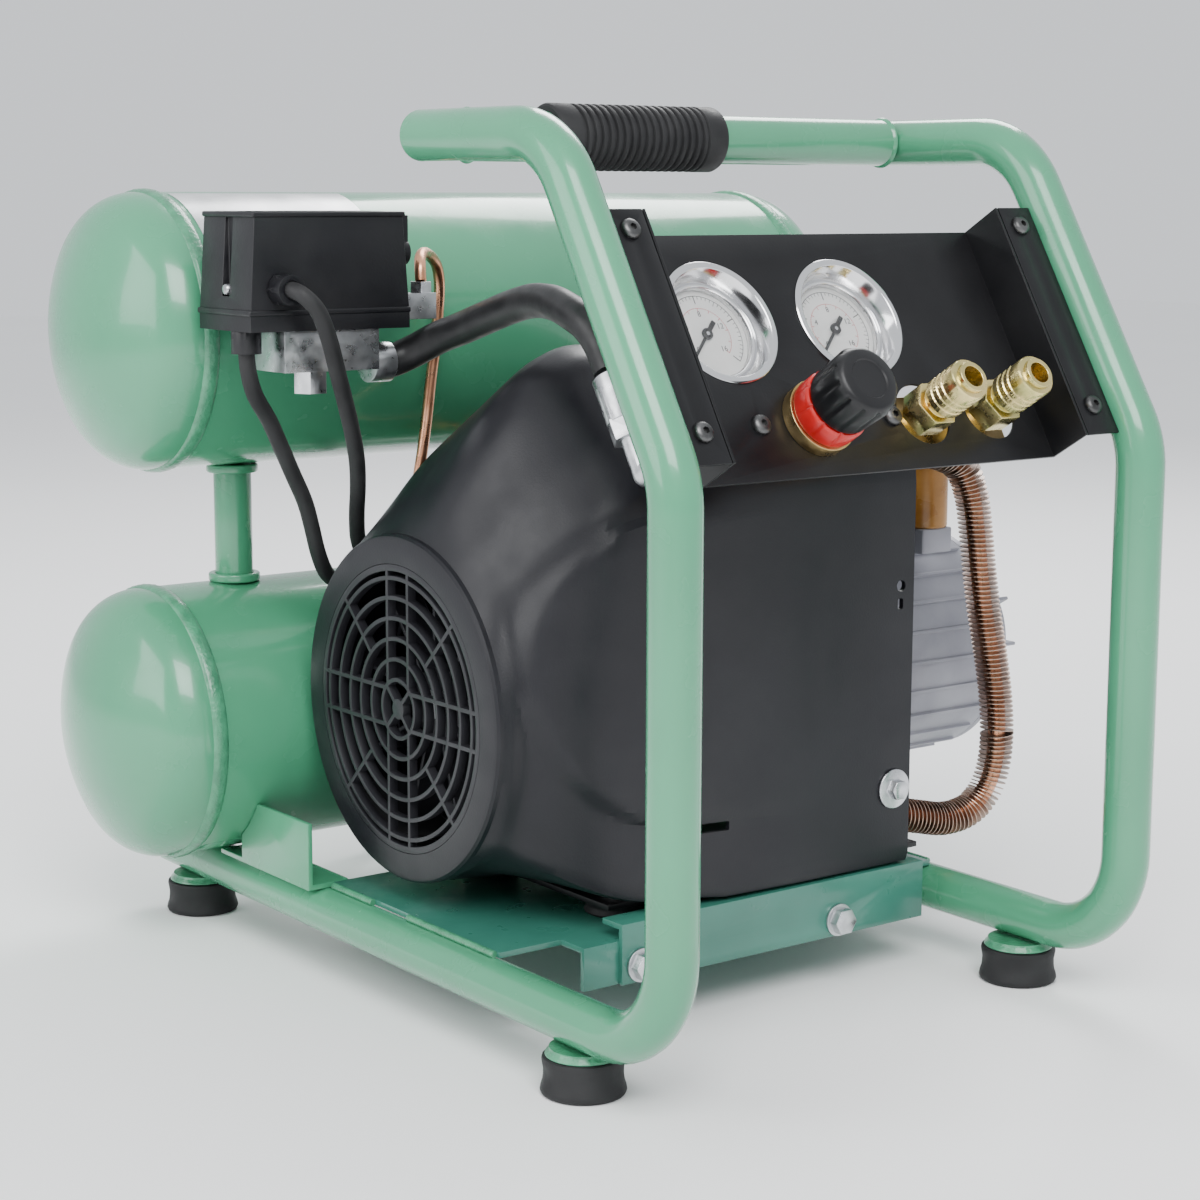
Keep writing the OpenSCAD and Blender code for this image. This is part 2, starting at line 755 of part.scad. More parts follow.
module panel_screws() {
    color([0.2, 0.2, 0.2]) in_place() {
        for (side = [-1, 1], s = flange_screw_s)
            on_slope(side * flange_screw_x, s, 0) panel_screw(8);
        for (x = centre_screw_x)
            on_slope(x, controls_s, -panel_depth) panel_screw(8);
    }
}

// Repeats children at both gauges, facing out of the slope
module at_gauges() {
    for (x = [tank_gauge_x, outlet_gauge_x]) on_slope(x, gauge_s, gauge_face_t) children();
}

module gauge_cases() {
    r = gauge_d / 2;
    stem_s = gauge_s - r - manifold_high_s;
    trim_r = gauge_hole_d / 2 - 0.5;
    color("silver") in_place() at_gauges() {
        difference() {
            union() {
                translate([0, 0, -3]) cylinder(h = 11 + touch, r1 = r, r2 = trim_r, $fn = 96);
                translate([0, 0, 8 + touch]) cylinder(h = 1.2, r = trim_r + 2.5, $fn = 96);
            }
            translate([0, 0, -3.5]) cylinder(h = 14, r1 = r - 2, r2 = trim_r - 1, $fn = 96);
        }
        difference() {
            translate([0, 0, -gauge_depth]) cylinder(h = gauge_depth, r = r, $fn = 96);
            translate([0, 0, -6]) cylinder(h = 5, r = r - 2.5, $fn = 96);
            translate([0, 0, -6]) cylinder(h = 10, r = r - 3.5, $fn = 96);
        }
        translate([0, -r + 3, -18]) rotate([90, 0, 0])
            cylinder(h = stem_s + 3 - touch, r = 6, $fn = 40);
    }
}

module gauge_dials() {
    color("white") in_place() at_gauges() {
        translate([0, 0, -6 + touch]) cylinder(h = 1.2, r = gauge_d / 2 - 2.8, $fn = 96);
        translate([0, 0, -5]) cylinder(h = 2, r = 1, $fn = 24);
    }
}

module gauge_lenses() {
    color([0.85, 0.9, 0.92, 0.4]) in_place() at_gauges()
        translate([0, 0, -2.4]) cylinder(h = 1.2, r = gauge_d / 2 - 2.8, $fn = 96);
}

// Pointer with its tip at the zero mark, low on the left
module needle(x) {
    r = gauge_d / 2;
    color([0.1, 0.1, 0.1]) in_place() on_slope(x, gauge_s, gauge_face_t - 4.2)
        rotate([0, 0, 225]) difference() {
            union() {
                cylinder(h = 1, r = 3, $fn = 32);
                translate([0, -0.7, 0]) cube([r - 9, 1.4, 0.8]);
                translate([-9, -1.2, 0]) cube([9, 2.4, 0.8]);
            }
            translate([0, 0, -1]) cylinder(h = 4, r = 1 + running, $fn = 24);
        }
}

module tank_gauge_needle() {
    needle(tank_gauge_x);
}

module outlet_gauge_needle() {
    needle(outlet_gauge_x);
}

// Bar behind the panel that joins hose, regulator, gauges and couplers
module panel_manifold() {
    w = manifold_right_x - manifold_left_x;
    depth = manifold_front_t - manifold_back_t;
    color("goldenrod") in_place() difference() {
        union() {
            on_slope(manifold_left_x, manifold_low_s, manifold_back_t)
                cube([w, manifold_high_s - manifold_low_s, depth]);
            on_slope(regulator_x, controls_s, manifold_front_t - 1)
                cylinder(h = -manifold_front_t - panel_depth + nut_len + 1, r = 15, $fn = 64);
            on_slope(regulator_x, controls_s, -panel_depth + touch)
                cylinder(h = nut_len, r = 19, $fn = 64);
            on_slope(regulator_x, controls_s, -panel_depth + nut_len)
                cylinder(h = lock_ring_len + 16, r = 6, $fn = 32);
            on_slope(safety_x, safety_s, manifold_back_t + 1) rotate([180, 0, 0]) union() {
                hex_bar(9, 15);
                cylinder(h = safety_len, r = 4, $fn = 32);
            }
        }
        on_slope(manifold_left_x + 8, controls_s, -47) rotate([0, 90, 0])
            cylinder(h = w - 20, r = 4, $fn = 32);
    }
}

module regulator_lock_ring() {
    color([0.8, 0.12, 0.1]) in_place() on_slope(regulator_x, controls_s, lock_ring_t) difference() {
        cylinder(h = lock_ring_len, r = 19, $fn = 64);
        translate([0, 0, -1]) cylinder(h = lock_ring_len + 2, r = 6 + running, $fn = 32);
    }
}

module regulator_knob() {
    r = knob_d / 2;
    color([0.14, 0.14, 0.15]) in_place()
        on_slope(regulator_x, controls_s, lock_ring_t + lock_ring_len + 0.5) difference() {
            union() {
                cylinder(h = knob_len, r = r, $fn = 64);
                for (k = [0 : 17]) rotate([0, 0, 20 * k]) translate([r, 0, 2])
                    cylinder(h = knob_len - 5, r = 1.2, $fn = 16);
            }
            translate([0, 0, -1]) cylinder(h = 18, r = 6 + running, $fn = 32);
        }
}

// Repeats children at both couplers
module at_couplers() {
    for (k = [0, 1]) on_slope(coupler_x + k * coupler_pitch, controls_s, 0) children();
}

module coupler_bodies() {
    color("goldenrod") in_place() at_couplers() difference() {
        union() {
            translate([0, 0, manifold_front_t + touch])
                cylinder(h = coupler_nose_t - manifold_front_t - touch, r = sleeve_d / 2 - 3, $fn = 64);
            translate([0, 0, -panel_depth - 2]) hex_bar(sleeve_back_t + panel_depth + 1.6, coupler_hex_af);
        }
        translate([0, 0, coupler_nose_t - coupler_bore_len])
            cylinder(h = coupler_bore_len + 1, r = coupler_bore_d / 2, $fn = 48);
    }
}

module coupler_sleeve(k) {
    color("khaki") in_place()
        on_slope(coupler_x + k * coupler_pitch, controls_s, sleeve_back_t + sleeve_travel) difference() {
            cylinder(h = sleeve_front_t - sleeve_back_t - sleeve_travel, r = sleeve_d / 2, $fn = 64);
            translate([0, 0, -1]) cylinder(h = 60, r = sleeve_d / 2 - 3 + running, $fn = 64);
            for (k = [0 : 2]) translate([0, 0, 6 + 4 * k]) difference() {
                cylinder(h = 2, r = sleeve_d, $fn = 64);
                translate([0, 0, -1]) cylinder(h = 4, r = sleeve_d / 2 - 0.8, $fn = 64);
            }
        }
}

module left_coupler_sleeve() {
    coupler_sleeve(0);
}

module right_coupler_sleeve() {
    coupler_sleeve(1);
}

module safety_valve_ring() {
    color("silver") in_place()
        on_slope(safety_x, safety_s, manifold_back_t + 1) rotate([180, 0, 0])
        translate([0, 0, safety_len - 6.8]) difference() {
            cylinder(h = 9, r = 8, $fn = 48);
            translate([0, 0, -1]) cylinder(h = 8, r = 4 + running, $fn = 32);
            translate([0, 0, 6]) cylinder(h = 4, r = 6, $fn = 32);
        }
}

// ---- pressure switch ----

module switch_base() {
    color([0.16, 0.16, 0.17]) in_place() difference() {
        union() {
            translate([switch_x, switch_front_y, switch_z]) cube([switch_w, switch_depth, switch_base_h]);
            translate([switch_x + 8, switch_front_y + 8, switch_z + switch_base_h])
                cube([switch_w - 16, switch_depth - 16, 34]);
            translate([switch_x + switch_w - 16, lever_y, lever_z]) rotate([0, 90, 0])
                cylinder(h = 22, r = 3, $fn = 32);
        }
        translate([-197, switch_back_y - 36, switch_z - 1]) cylinder(h = switch_base_h + 2, r = 6, $fn = 32);
    }
}

module switch_cover() {
    lift = switch_z + switch_base_h + touch;
    h = switch_h - switch_base_h;
    color([0.12, 0.12, 0.13]) in_place() difference() {
        translate([switch_x, switch_front_y, lift]) cube([switch_w, switch_depth, h]);
        translate([switch_x + 2.5, switch_front_y + 2.5, lift - 1])
            cube([switch_w - 5, switch_depth - 5, h - 1.5]);
        translate([switch_x + switch_w - 5, lever_y, lever_z]) rotate([0, 90, 0])
            cylinder(h = 10, r = 4.5, $fn = 32);
        translate([-187, switch_front_y - 1, switch_z + 22]) rotate([-90, 0, 0])
            cylinder(h = 5, r = 6, $fn = 32);
    }
}

module switch_lever() {
    color([0.2, 0.2, 0.21]) in_place()
        translate([switch_x + switch_w + 1, lever_y, lever_z]) rotate([0, 90, 0]) difference() {
            union() {
                cylinder(h = 5, r = 7, $fn = 48);
                translate([-20, -4, 0]) cube([20, 8, 5]);
            }
            translate([0, 0, -1]) cylinder(h = 7, r = 3 + running, $fn = 32);
        }
}

module switch_manifold() {
    boss_z = manifold_z + 10;
    color([0.6, 0.6, 0.62]) in_place() difference() {
        union() {
            translate([-183, switch_front_y + 4, manifold_z]) cube([58, 36, 22 - touch]);
            translate([-162, switch_back_y - 18, boss_z]) rotate([-90, 0, 0])
                cylinder(h = 40, r = 9, $fn = 48);
            translate([-161, switch_front_y + 16, manifold_z - 12]) hex_bar(14, 17);
            translate([switch_x + switch_w + touch, unloader_y - 6, switch_z + 4]) cube([21, 12, 14]);
            translate([unloader_x, unloader_y, switch_z + 17]) hex_bar(7, 11);
        }
        translate([0, tank_y, upper_tank_z]) x_rod(-240, 200, tank_r + touch);
    }
}

// ---- hoses, cords and tubes ----

// Gland with its axis along +Z, bored for a cord
module gland() {
    difference() {
        union() {
            cylinder(h = gland_len, r = cord_d / 2 + 3.5, $fn = 48);
            hex_bar(4, cord_d + 6);
        }
        translate([0, 0, -1]) cylinder(h = gland_len + 2, r = cord_d / 2 + seat, $fn = 48);
    }
}

module cord_glands() {
    color([0.1, 0.1, 0.1]) in_place() {
        translate([-187, switch_front_y - touch, switch_z + 22]) rotate([90, 0, 0]) gland();
        translate([-197, switch_back_y - 36, switch_z - touch]) rotate([180, 0, 0]) gland();
    }
}

module air_hose() {
    color([0.15, 0.15, 0.16]) in_place() swept(smooth(hose_route, 3), hose_d, 12);
}

module hose_fittings() {
    r = hose_d / 2;
    color("silver") in_place() {
        translate([-139, 305, 339]) difference() {
            x_rod(14.1, 13, r + 2);
            x_rod(16, 30, r + seat);
        }
        on_slope(elbow_x, elbow_s, elbow_back_t) union() {
            cylinder(h = manifold_back_t - elbow_back_t - touch, r = 7, $fn = 48);
            sphere(r = 7, $fn = 48);
            rotate([-90, 0, 0]) cylinder(h = hose_nut_s - elbow_s, r = 7, $fn = 48);
            translate([0, hose_nut_s - elbow_s - 1, 0]) rotate([-90, 0, 0])
                hex_bar(hose_nut_len + 2, 20);
            translate([0, hose_nut_s - elbow_s + hose_nut_len, 0]) rotate([-90, 0, 0])
                difference() {
                    cylinder(h = ferrule_len, r = r + 2, $fn = 48);
                    translate([0, 0, 2]) cylinder(h = ferrule_len, r = r + seat, $fn = 48);
                }
        }
    }
}

module unloader_tube() {
    color([0.72, 0.42, 0.25]) in_place() swept(smooth(unloader_route, 3), unloader_d, 12);
}

module motor_lead() {
    color([0.1, 0.1, 0.1]) in_place() swept(smooth(motor_lead_route, 3), cord_d, 12);
}

module supply_cord() {
    color([0.1, 0.1, 0.1]) in_place() swept(smooth(supply_route, 2), cord_d, 10);
}

// The rest of the cord, laid in a flat coil on the floor
module supply_cord_coil() {
    color([0.1, 0.1, 0.1]) in_place() translate([coil_centre[0], coil_centre[1], 0.2])
        rotate_extrude($fn = 96) translate([coil_in_r, 0]) square([coil_out_r - coil_in_r, 2 * cord_d]);
}

module supply_plug() {
    color([0.12, 0.12, 0.12]) in_place()
        translate([coil_centre[0] + coil_out_r + 7 + seat, coil_centre[1] + 30, 15.5]) union() {
            translate([-14, 0, -15]) cube([28, 34, 30]);
            translate([0, 1, 0]) rotate([90, 0, 0]) cylinder(h = 31, r = 7, $fn = 40);
            for (x = [-7, 5]) translate([x, 33, -3]) cube([2, 18, 6]);
            translate([0, 33, 8]) rotate([-90, 0, 0]) cylinder(h = 20, r = 2.4, $fn = 24);
        }
}

// Bare copper from the finned tube to the check valve, and the fins' envelope
module aftercooler_tube() {
    color([0.72, 0.42, 0.25]) in_place() {
        swept(smooth(aftercooler_route, 2), aftercooler_d, 12);
        swept(smooth(discharge_route, 3), discharge_d, 12);
    }
}

// ---- fan shroud ----

// Outline of the shroud across the motor axis, as [y, z]
shroud_outline = [
    [channel_y, shroud_z], [310, shroud_z], [336, 100], [336, 240], [290, 302],
    [216, 352], [190, 350], [146, 316], [channel_y, 285]
];

// The outline moved inwards by w
function edge(p, i) = unit(p[(i + 1) % len(p)] - p[i]);
function turned(d) = [-d[1], d[0]];
function inset(p, w) = [
    for (i = [0 : len(p) - 1])
        let (a = turned(edge(p, (i + len(p) - 1) % len(p))), b = turned(edge(p, i)))
        p[i] + w / (1 + a * b) * (a + b)
];

// The outline drawn in towards the nose: u is 0 on its circle and 1 at the box
function drawn_in(u) = [
    for (p = shroud_outline)
        let (q = p - [axis_y, axis_z])
        [axis_y, axis_z] + q * (shroud_r + (norm(q) - shroud_r) * u) / norm(q)
];

// Slab across the motor axis from x
module shroud_slab(x, len, w, u = 1) {
    translate([x, 0, 0]) rotate([90, 0, 90]) linear_extrude(height = len)
        polygon(inset(drawn_in(u), w));
}

// Rounded shoulders from the nose's circle to the box, in three runs
module shroud_nose(x, w) {
    hull() {
        on_axis() translate([x, 0, 0]) rotate([0, 90, 0])
            cylinder(h = 1, r = shroud_r - w, $fn = 48);
        shroud_slab(shroud_mid_x[0], 1, w, shroud_mid_u[0]);
    }
    hull() for (k = [0, 1]) shroud_slab(shroud_mid_x[k], 1, w, shroud_mid_u[k]);
    hull() {
        shroud_slab(shroud_mid_x[1], 1, w, shroud_mid_u[1]);
        shroud_slab(shroud_box_x - 1, 1, w);
    }
}

module fan_shroud() {
    len = shroud_right_x - shroud_box_x;
    color([0.17, 0.17, 0.19]) in_place() difference() {
        union() {
            shroud_nose(shroud_left_x, 0);
            shroud_slab(shroud_box_x - 0.5, len + 0.5, 0);
        }
        shroud_nose(shroud_left_x + shroud_wall, shroud_wall);
        shroud_slab(shroud_box_x - 1, len + 2, shroud_wall);
        on_axis() x_rod(shroud_left_x - 5, 20, grille_r);
        translate([isolator_left_x - 24, isolator_front_y - 22, shroud_z - 5])
            cube([shroud_right_x - isolator_left_x + 30, isolator_back_y - isolator_front_y + 44, 16]);
        translate([shroud_screw_x, channel_y - 1, shroud_screw_z]) rotate([-90, 0, 0])
            cylinder(h = shroud_wall + 2, r = 3.3, $fn = 24);
        translate([-38, channel_y - 1, 100]) cube([19, shroud_wall + 2, 5]);
        translate([-95, 310, 213]) rotate([-90, 0, 0])
            cylinder(h = 40, r = cord_d / 2 + seat, $fn = 24);
        translate([66, 300, shroud_z - 5]) cube([31, 60, 38]);
    }
}

module fan_grille() {
    r = grille_r - seat;
    color([0.26, 0.26, 0.28]) in_place() on_axis()
        translate([shroud_left_x, 0, 0]) rotate([90, 0, 90]) linear_extrude(height = grille_t) {
            difference() {
                circle(r = r, $fn = 96);
                circle(r = r - 3.5, $fn = 96);
            }
            for (k = [0 : 4]) difference() {
                circle(r = 16.9 + 11 * k, $fn = 96);
                circle(r = 14.7 + 11 * k, $fn = 96);
            }
            difference() {
                circle(r = 71.5, $fn = 96);
                circle(r = 69.3, $fn = 96);
            }
            circle(r = 5.5, $fn = 32);
            for (a = [0 : 90 : 270], side = [-10, 10])
                rotate(a) translate([12, side - 1.1]) square([r - 15, 2.2]);
            for (a = [45 : 90 : 315]) rotate(a) {
                translate([37, -1.1]) square([r - 38, 2.2]);
                translate([5, -1.1]) square([11, 2.2]);
            }
        }
}

module shroud_screws() {
    color("silver") in_place()
        translate([shroud_screw_x, channel_y - touch, shroud_screw_z]) rotate([90, 0, 0]) {
            washer_screw(22, 10, 5);
            translate([0, 0, -10]) cylinder(h = 11, r = 3, $fn = 24);
        }
}

// ---- motor and pump ----

module motor_housing() {
    len = motor_end_x - motor_start_x;
    color([0.55, 0.55, 0.57]) in_place() on_axis() difference() {
        union() {
            x_rod(motor_start_x, len, barrel_r);
            for (k = [0 : 23]) rotate([15 * k, 0, 0])
                translate([motor_start_x + 4, -1, barrel_r - 1]) cube([len - 8, 2, motor_r - barrel_r + 1]);
        }
        x_rod(motor_start_x + 8, len, stator_out_r + touch);
        x_rod(motor_start_x - 1, 12, shaft_r + 3);
    }
}

module motor_end_bell() {
    color([0.55, 0.55, 0.57]) in_place() on_axis() difference() {
        union() {
            x_rod(motor_end_x + touch, 6, barrel_r);
            x_rod(motor_end_x + 5, end_bell_len - 4, end_bell_r);
            x_ring(motor_end_x - 8, 9, stator_out_r - 0.5, stator_out_r - 6);
        }
        x_rod(motor_end_x - 10, 16, bearing_r + 12);
        x_rod(motor_end_x + 1, 12, bearing_r + touch);
    }
}

module stator_core() {
    color([0.35, 0.36, 0.38]) in_place() on_axis() {
        x_ring(stator_x[0], stator_x[1] - stator_x[0], stator_out_r, rotor_r + 0.6);
        for (x = [stator_x[0] - 16, stator_x[1] - 1])
            x_ring(x, 17, stator_out_r - 6, rotor_r + 4);
    }
}

// Shaft with the rotor and the eccentric that drives the rod
module drive_shaft() {
    color([0.6, 0.6, 0.62]) in_place() on_axis() {
        x_rod(fan_x - 12, motor_end_x + 12 - fan_x + 12, shaft_r);
        x_rod(stator_x[0], stator_x[1] - stator_x[0], rotor_r);
        translate([0, 0, throw]) x_rod(crank_x - web_w / 2 - 0.5, web_w + 1, eccentric_r);
        for (side = [-1, 1]) translate([crank_x + side * (web_w / 2 + 4) - 3, -9, -crankcase_in_r + 5])
            cube([6, 18, crankcase_in_r - 5]);
    }
}

module shaft_bearings() {
    color("silver") in_place() on_axis()
        for (x = [-crankcase_half, crankcase_half - crankcase_wall, motor_end_x + 2])
            x_ring(x, crankcase_wall - 1, bearing_r, shaft_r + running);
}

module cooling_fan() {
    color([0.2, 0.2, 0.22]) in_place() on_axis() {
        x_ring(fan_x - 8, fan_w - 2, 22, shaft_r + touch);
        x_ring(fan_x + fan_w / 2 - 2, 2, fan_d / 2, 20);
        for (k = [0 : 8]) rotate([40 * k, 0, 0])
            translate([fan_x - fan_w / 2, -1.2, 20]) cube([fan_w - 1, 2.4, fan_d / 2 - 21]);
    }
}

module crankcase() {
    neck = motor_start_x - crankcase_half;
    color([0.6, 0.6, 0.62]) in_place() difference() {
        union() {
            on_axis() x_rod(-crankcase_half, 2 * crankcase_half, crankcase_r);
            on_axis() x_rod(crankcase_half - 1, neck + 1 - touch, bearing_r + 9);
            translate([crank_x, axis_y, axis_z])
                cylinder(h = cylinder_top_z - axis_z, r = cylinder_r, $fn = 96);
            for (k = [0 : 2]) translate([crank_x, axis_y, cylinder_top_z - 6 - 9 * k])
                cylinder(h = 3, r = cylinder_r + 9, $fn = 96);
        }
        on_axis() x_rod(crankcase_wall - crankcase_half, 2 * (crankcase_half - crankcase_wall), crankcase_in_r);
        on_axis() x_rod(-crankcase_half - 12, 2 * crankcase_half + 13, bearing_r + touch);
        on_axis() x_rod(0, motor_start_x + 1, bearing_r - 3);
        translate([crank_x, axis_y, axis_z]) cylinder(h = 200, r = bore_r, $fn = 96);
    }
}

// Head with its valve plate, bolts and outlet
module cylinder_head() {
    r = cylinder_r + 9;
    color([0.6, 0.6, 0.62]) in_place() translate([crank_x, axis_y, cylinder_top_z + touch]) {
        cylinder(h = 4, r = r, $fn = 96);
        translate([0, 0, 4 + touch]) difference() {
            cylinder(h = head_h - 4, r = r, $fn = 96);
            translate([0, 0, -1]) cylinder(h = 14, r = r - 10, $fn = 96);
            for (k = [-3 : 3]) translate([-r, 8 * k - 2, 16]) cube([2 * r, 4, 20]);
        }
        for (a = [45 : 90 : 315]) rotate([0, 0, a]) translate([r - 6, 0, head_h - 8]) hex_bar(12, 10);
        translate([r - 14, -8, 14]) rotate([0, 90, 0])
            cylinder(h = 18, r = aftercooler_d / 2 - 1, $fn = 40);
    }
}

module connecting_rod() {
    color([0.65, 0.65, 0.67]) in_place() translate([crank_x - web_w / 2, axis_y, axis_z + throw]) difference() {
        union() {
            rotate([0, 90, 0]) cylinder(h = web_w, r = big_end_r, $fn = 64);
            translate([0, -5, eccentric_r + 1]) cube([web_w, 10, rod_len - eccentric_r - 1 - touch]);
        }
        translate([-1, 0, 0]) rotate([0, 90, 0]) cylinder(h = web_w + 2, r = eccentric_r + running, $fn = 64);
    }
}

module piston() {
    color([0.3, 0.3, 0.32]) in_place() translate([crank_x, axis_y, piston_z])
        cylinder(h = piston_h, r = piston_r, $fn = 64);
}

// Capacitor standing in a bracket on the motor
module start_capacitor() {
    foot_z = axis_z + 62;
    color([0.6, 0.35, 0.12]) in_place() {
        translate([194, 200, foot_z + 16]) cylinder(h = 52, r = 14, $fn = 48);
        difference() {
            translate([182, 188, foot_z - 22]) cube([24, 24, 37.9]);
            on_axis() x_rod(170, 50, motor_r + touch);
        }
    }
}

// ---- draw ----
left_side_frame();
right_side_frame();
handle_crossbar();
handle_grip();
foot_cups();
rubber_feet();
tank_brackets();
base_tray();
front_channel();
base_bolts();
mount_isolators();
motor_cradle();
upper_tank_shell();
lower_tank_shell();
tank_heads();
tank_link_pipes();
tank_fittings();
drain_tap();
control_panel();
panel_screws();
gauge_cases();
gauge_dials();
gauge_lenses();
tank_gauge_needle();
outlet_gauge_needle();
panel_manifold();
tank_label();
regulator_lock_ring();
regulator_knob();
coupler_bodies();
left_coupler_sleeve();
right_coupler_sleeve();
switch_base();
switch_cover();
switch_lever();
switch_manifold();
safety_valve_ring();
cord_glands();
air_hose();
hose_fittings();
unloader_tube();
motor_lead();
supply_cord();
supply_cord_coil();
supply_plug();
fan_shroud();
fan_grille();
shroud_screws();
motor_housing();
motor_end_bell();
stator_core();
drive_shaft();
shaft_bearings();
cooling_fan();
crankcase();
cylinder_head();
connecting_rod();
piston();
aftercooler_tube();
start_capacitor();
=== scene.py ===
"""Looks of the twin-tank air compressor, laid out as an add-on."""
import math

import bpy
from bpy.props import FloatProperty, FloatVectorProperty, PointerProperty
from mathutils import Matrix, Vector


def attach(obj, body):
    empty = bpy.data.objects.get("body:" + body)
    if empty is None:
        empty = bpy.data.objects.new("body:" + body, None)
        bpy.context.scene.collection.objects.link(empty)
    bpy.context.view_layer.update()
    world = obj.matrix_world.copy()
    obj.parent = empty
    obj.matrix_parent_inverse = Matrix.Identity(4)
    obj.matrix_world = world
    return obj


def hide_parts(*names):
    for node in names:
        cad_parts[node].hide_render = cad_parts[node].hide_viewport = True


bl_info = {
    "name": "Twin-tank Compressor",
    "version": (1, 0, 0),
    "blender": (4, 5, 0),
    "location": "3D View > Sidebar > Compressor",
    "description": "Builds the finished surfaces of a twin-tank air compressor",
    "category": "Add Mesh",
}

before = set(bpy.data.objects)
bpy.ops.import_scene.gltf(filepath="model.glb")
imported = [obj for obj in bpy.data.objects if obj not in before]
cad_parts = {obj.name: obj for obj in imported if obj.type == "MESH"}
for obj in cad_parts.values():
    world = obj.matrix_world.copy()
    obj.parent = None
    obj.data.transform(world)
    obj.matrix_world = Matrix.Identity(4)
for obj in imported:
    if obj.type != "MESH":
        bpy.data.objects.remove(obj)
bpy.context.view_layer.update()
BODY = "compressor"

# Where the frame's drawing origin lies from the part's origin, in millimetres
MID = Vector((19.5, 248.65, 0.0))
KNEE_Z = 304.0
TOP_Z = 458.0
TOP_END_Y = 204.0
RAIL_Z = 36.0
RAIL_END_Y = 493.0
BEND_R = 50.0
SIDE_X = 153.0
BAR_Y = 185.0
SLOPE_RUN = 93.0
SLOPE = math.atan2(TOP_Z - KNEE_Z, SLOPE_RUN)
# On the slope: height of the gauges and of the controls, and depth of the dials' cases
GAUGE_S, GAUGE_T, CONTROL_S, REGULATOR_X = 91.0, -33.0, 36.0, -36.0
# Depth and height of the motor's axis
AXIS = (250.0, 158.0)
# Vertices nearer than this are merged, in metres
MERGE = 0.00001


# ---- places ----

def at(x, y, z):
    """A point given in the frame's drawing millimetres, in metres."""
    return (Vector((x, y, z)) - MID) / 1000.0


def slope(x, s, t):
    """A point on the sloping panel: across, up the slope, out of it."""
    c, n = math.cos(SLOPE), math.sin(SLOPE)
    return at(x, c * s - n * t, KNEE_Z + n * s + c * t)


def slope_matrix(x, s, t):
    """A frame whose +Z points out of the sloping panel."""
    return Matrix.Translation(slope(x, s, t)) @ Matrix.Rotation(SLOPE, 4, "X")


# ---- modelling helpers ----

def across(x, y, z):
    """A frame at a drawing point whose +Z runs along the part's +X."""
    return Matrix.Translation(at(x, y, z)) @ Matrix.Rotation(math.pi / 2, 4, "Y")


def clear():
    if bpy.context.object and bpy.context.object.mode != "OBJECT":
        bpy.ops.object.mode_set(mode="OBJECT")
    bpy.ops.object.select_all(action="DESELECT")


def pick(ob):
    clear()
    ob.select_set(True)
    bpy.context.view_layer.objects.active = ob


def name_piece(ob, name):
    ob.name = name
    ob.data.name = name
    return ob


def bake(ob):
    """Puts a piece's place into its mesh."""
    pick(ob)
    bpy.ops.object.transform_apply(location=True, rotation=True, scale=True)
    return ob


def place(ob, matrix):
    ob.matrix_world = matrix
    bpy.context.view_layer.update()
    return bake(ob)


def join(obs, name):
    clear()
    for ob in obs:
        ob.select_set(True)
    bpy.context.view_layer.objects.active = obs[0]
    if len(obs) > 1:
        bpy.ops.object.join()
    ob = bpy.context.view_layer.objects.active
    return name_piece(ob, name)


def edit_all(ob):
    pick(ob)
    bpy.ops.object.mode_set(mode="EDIT")
    bpy.ops.mesh.select_all(action="SELECT")


def outward(ob):
    edit_all(ob)
    bpy.ops.mesh.remove_doubles(threshold=MERGE)
    bpy.ops.mesh.normals_make_consistent(inside=False)
    bpy.ops.object.mode_set(mode="OBJECT")
    return ob


def smooth(ob, angle=35):
    pick(ob)
    bpy.ops.object.shade_smooth_by_angle(angle=math.radians(angle))
    return ob


def round_edges(ob, width, segments=2, angle=35):
    """Rounds the sharp edges and smooths the rest; width in millimetres."""
    pick(ob)
    mod = ob.modifiers.new("Edges", "BEVEL")
    mod.width = width / 1000.0
    mod.segments = segments
    mod.limit_method = "ANGLE"
    mod.angle_limit = math.radians(angle)
    mod.use_clamp_overlap = True
    mod.harden_normals = False
    bpy.ops.object.modifier_apply(modifier=mod.name)
    return smooth(ob, angle)


def cut_away(ob, tool, name):
    """Takes a tool's shape out of a piece and deletes the tool."""
    pick(ob)
    mod = ob.modifiers.new(name, "BOOLEAN")
    mod.operation = "DIFFERENCE"
    mod.object = tool
    bpy.ops.object.modifier_apply(modifier=mod.name)
    bpy.data.objects.remove(tool, do_unlink=True)


def hollow(ob, wall):
    """Turns a surface into a wall of a thickness in metres, inwards."""
    pick(ob)
    mod = ob.modifiers.new("Wall", "SOLIDIFY")
    mod.thickness = wall
    mod.offset = -1.0
    bpy.ops.object.modifier_apply(modifier=mod.name)


def reshape(ob, grow):
    """Scales a turned piece's radius by grow(radius, angle, height), in metres."""
    for v in ob.data.vertices:
        k = grow(math.hypot(v.co.x, v.co.y), math.atan2(v.co.y, v.co.x), v.co.z)
        v.co.x *= k
        v.co.y *= k


def copy_node(node, name, width=0.5, segments=2, angle=35):
    """A merged copy of a CAD node with softened edges, to take its place once finish hides the node."""
    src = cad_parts[node]
    ob = src.copy()
    ob.data = src.data.copy()
    bpy.context.collection.objects.link(ob)
    ob.parent = None
    ob.matrix_world = Matrix.Identity(4)
    ob.data.materials.clear()
    edit_all(ob)
    bpy.ops.mesh.remove_doubles(threshold=MERGE)
    bpy.ops.mesh.dissolve_limited(angle_limit=math.radians(1.5))
    bpy.ops.object.mode_set(mode="OBJECT")
    if width:
        round_edges(ob, width, segments, angle)
    else:
        smooth(ob, angle)
    return name_piece(ob, name)


def dress(node, name, material, width, segments=3, body=BODY):
    """Copies a CAD node, softens its edges and finishes it in its place."""
    ob = copy_node(node, name, width, segments)
    return finish(ob, use(material), [node], body=body)


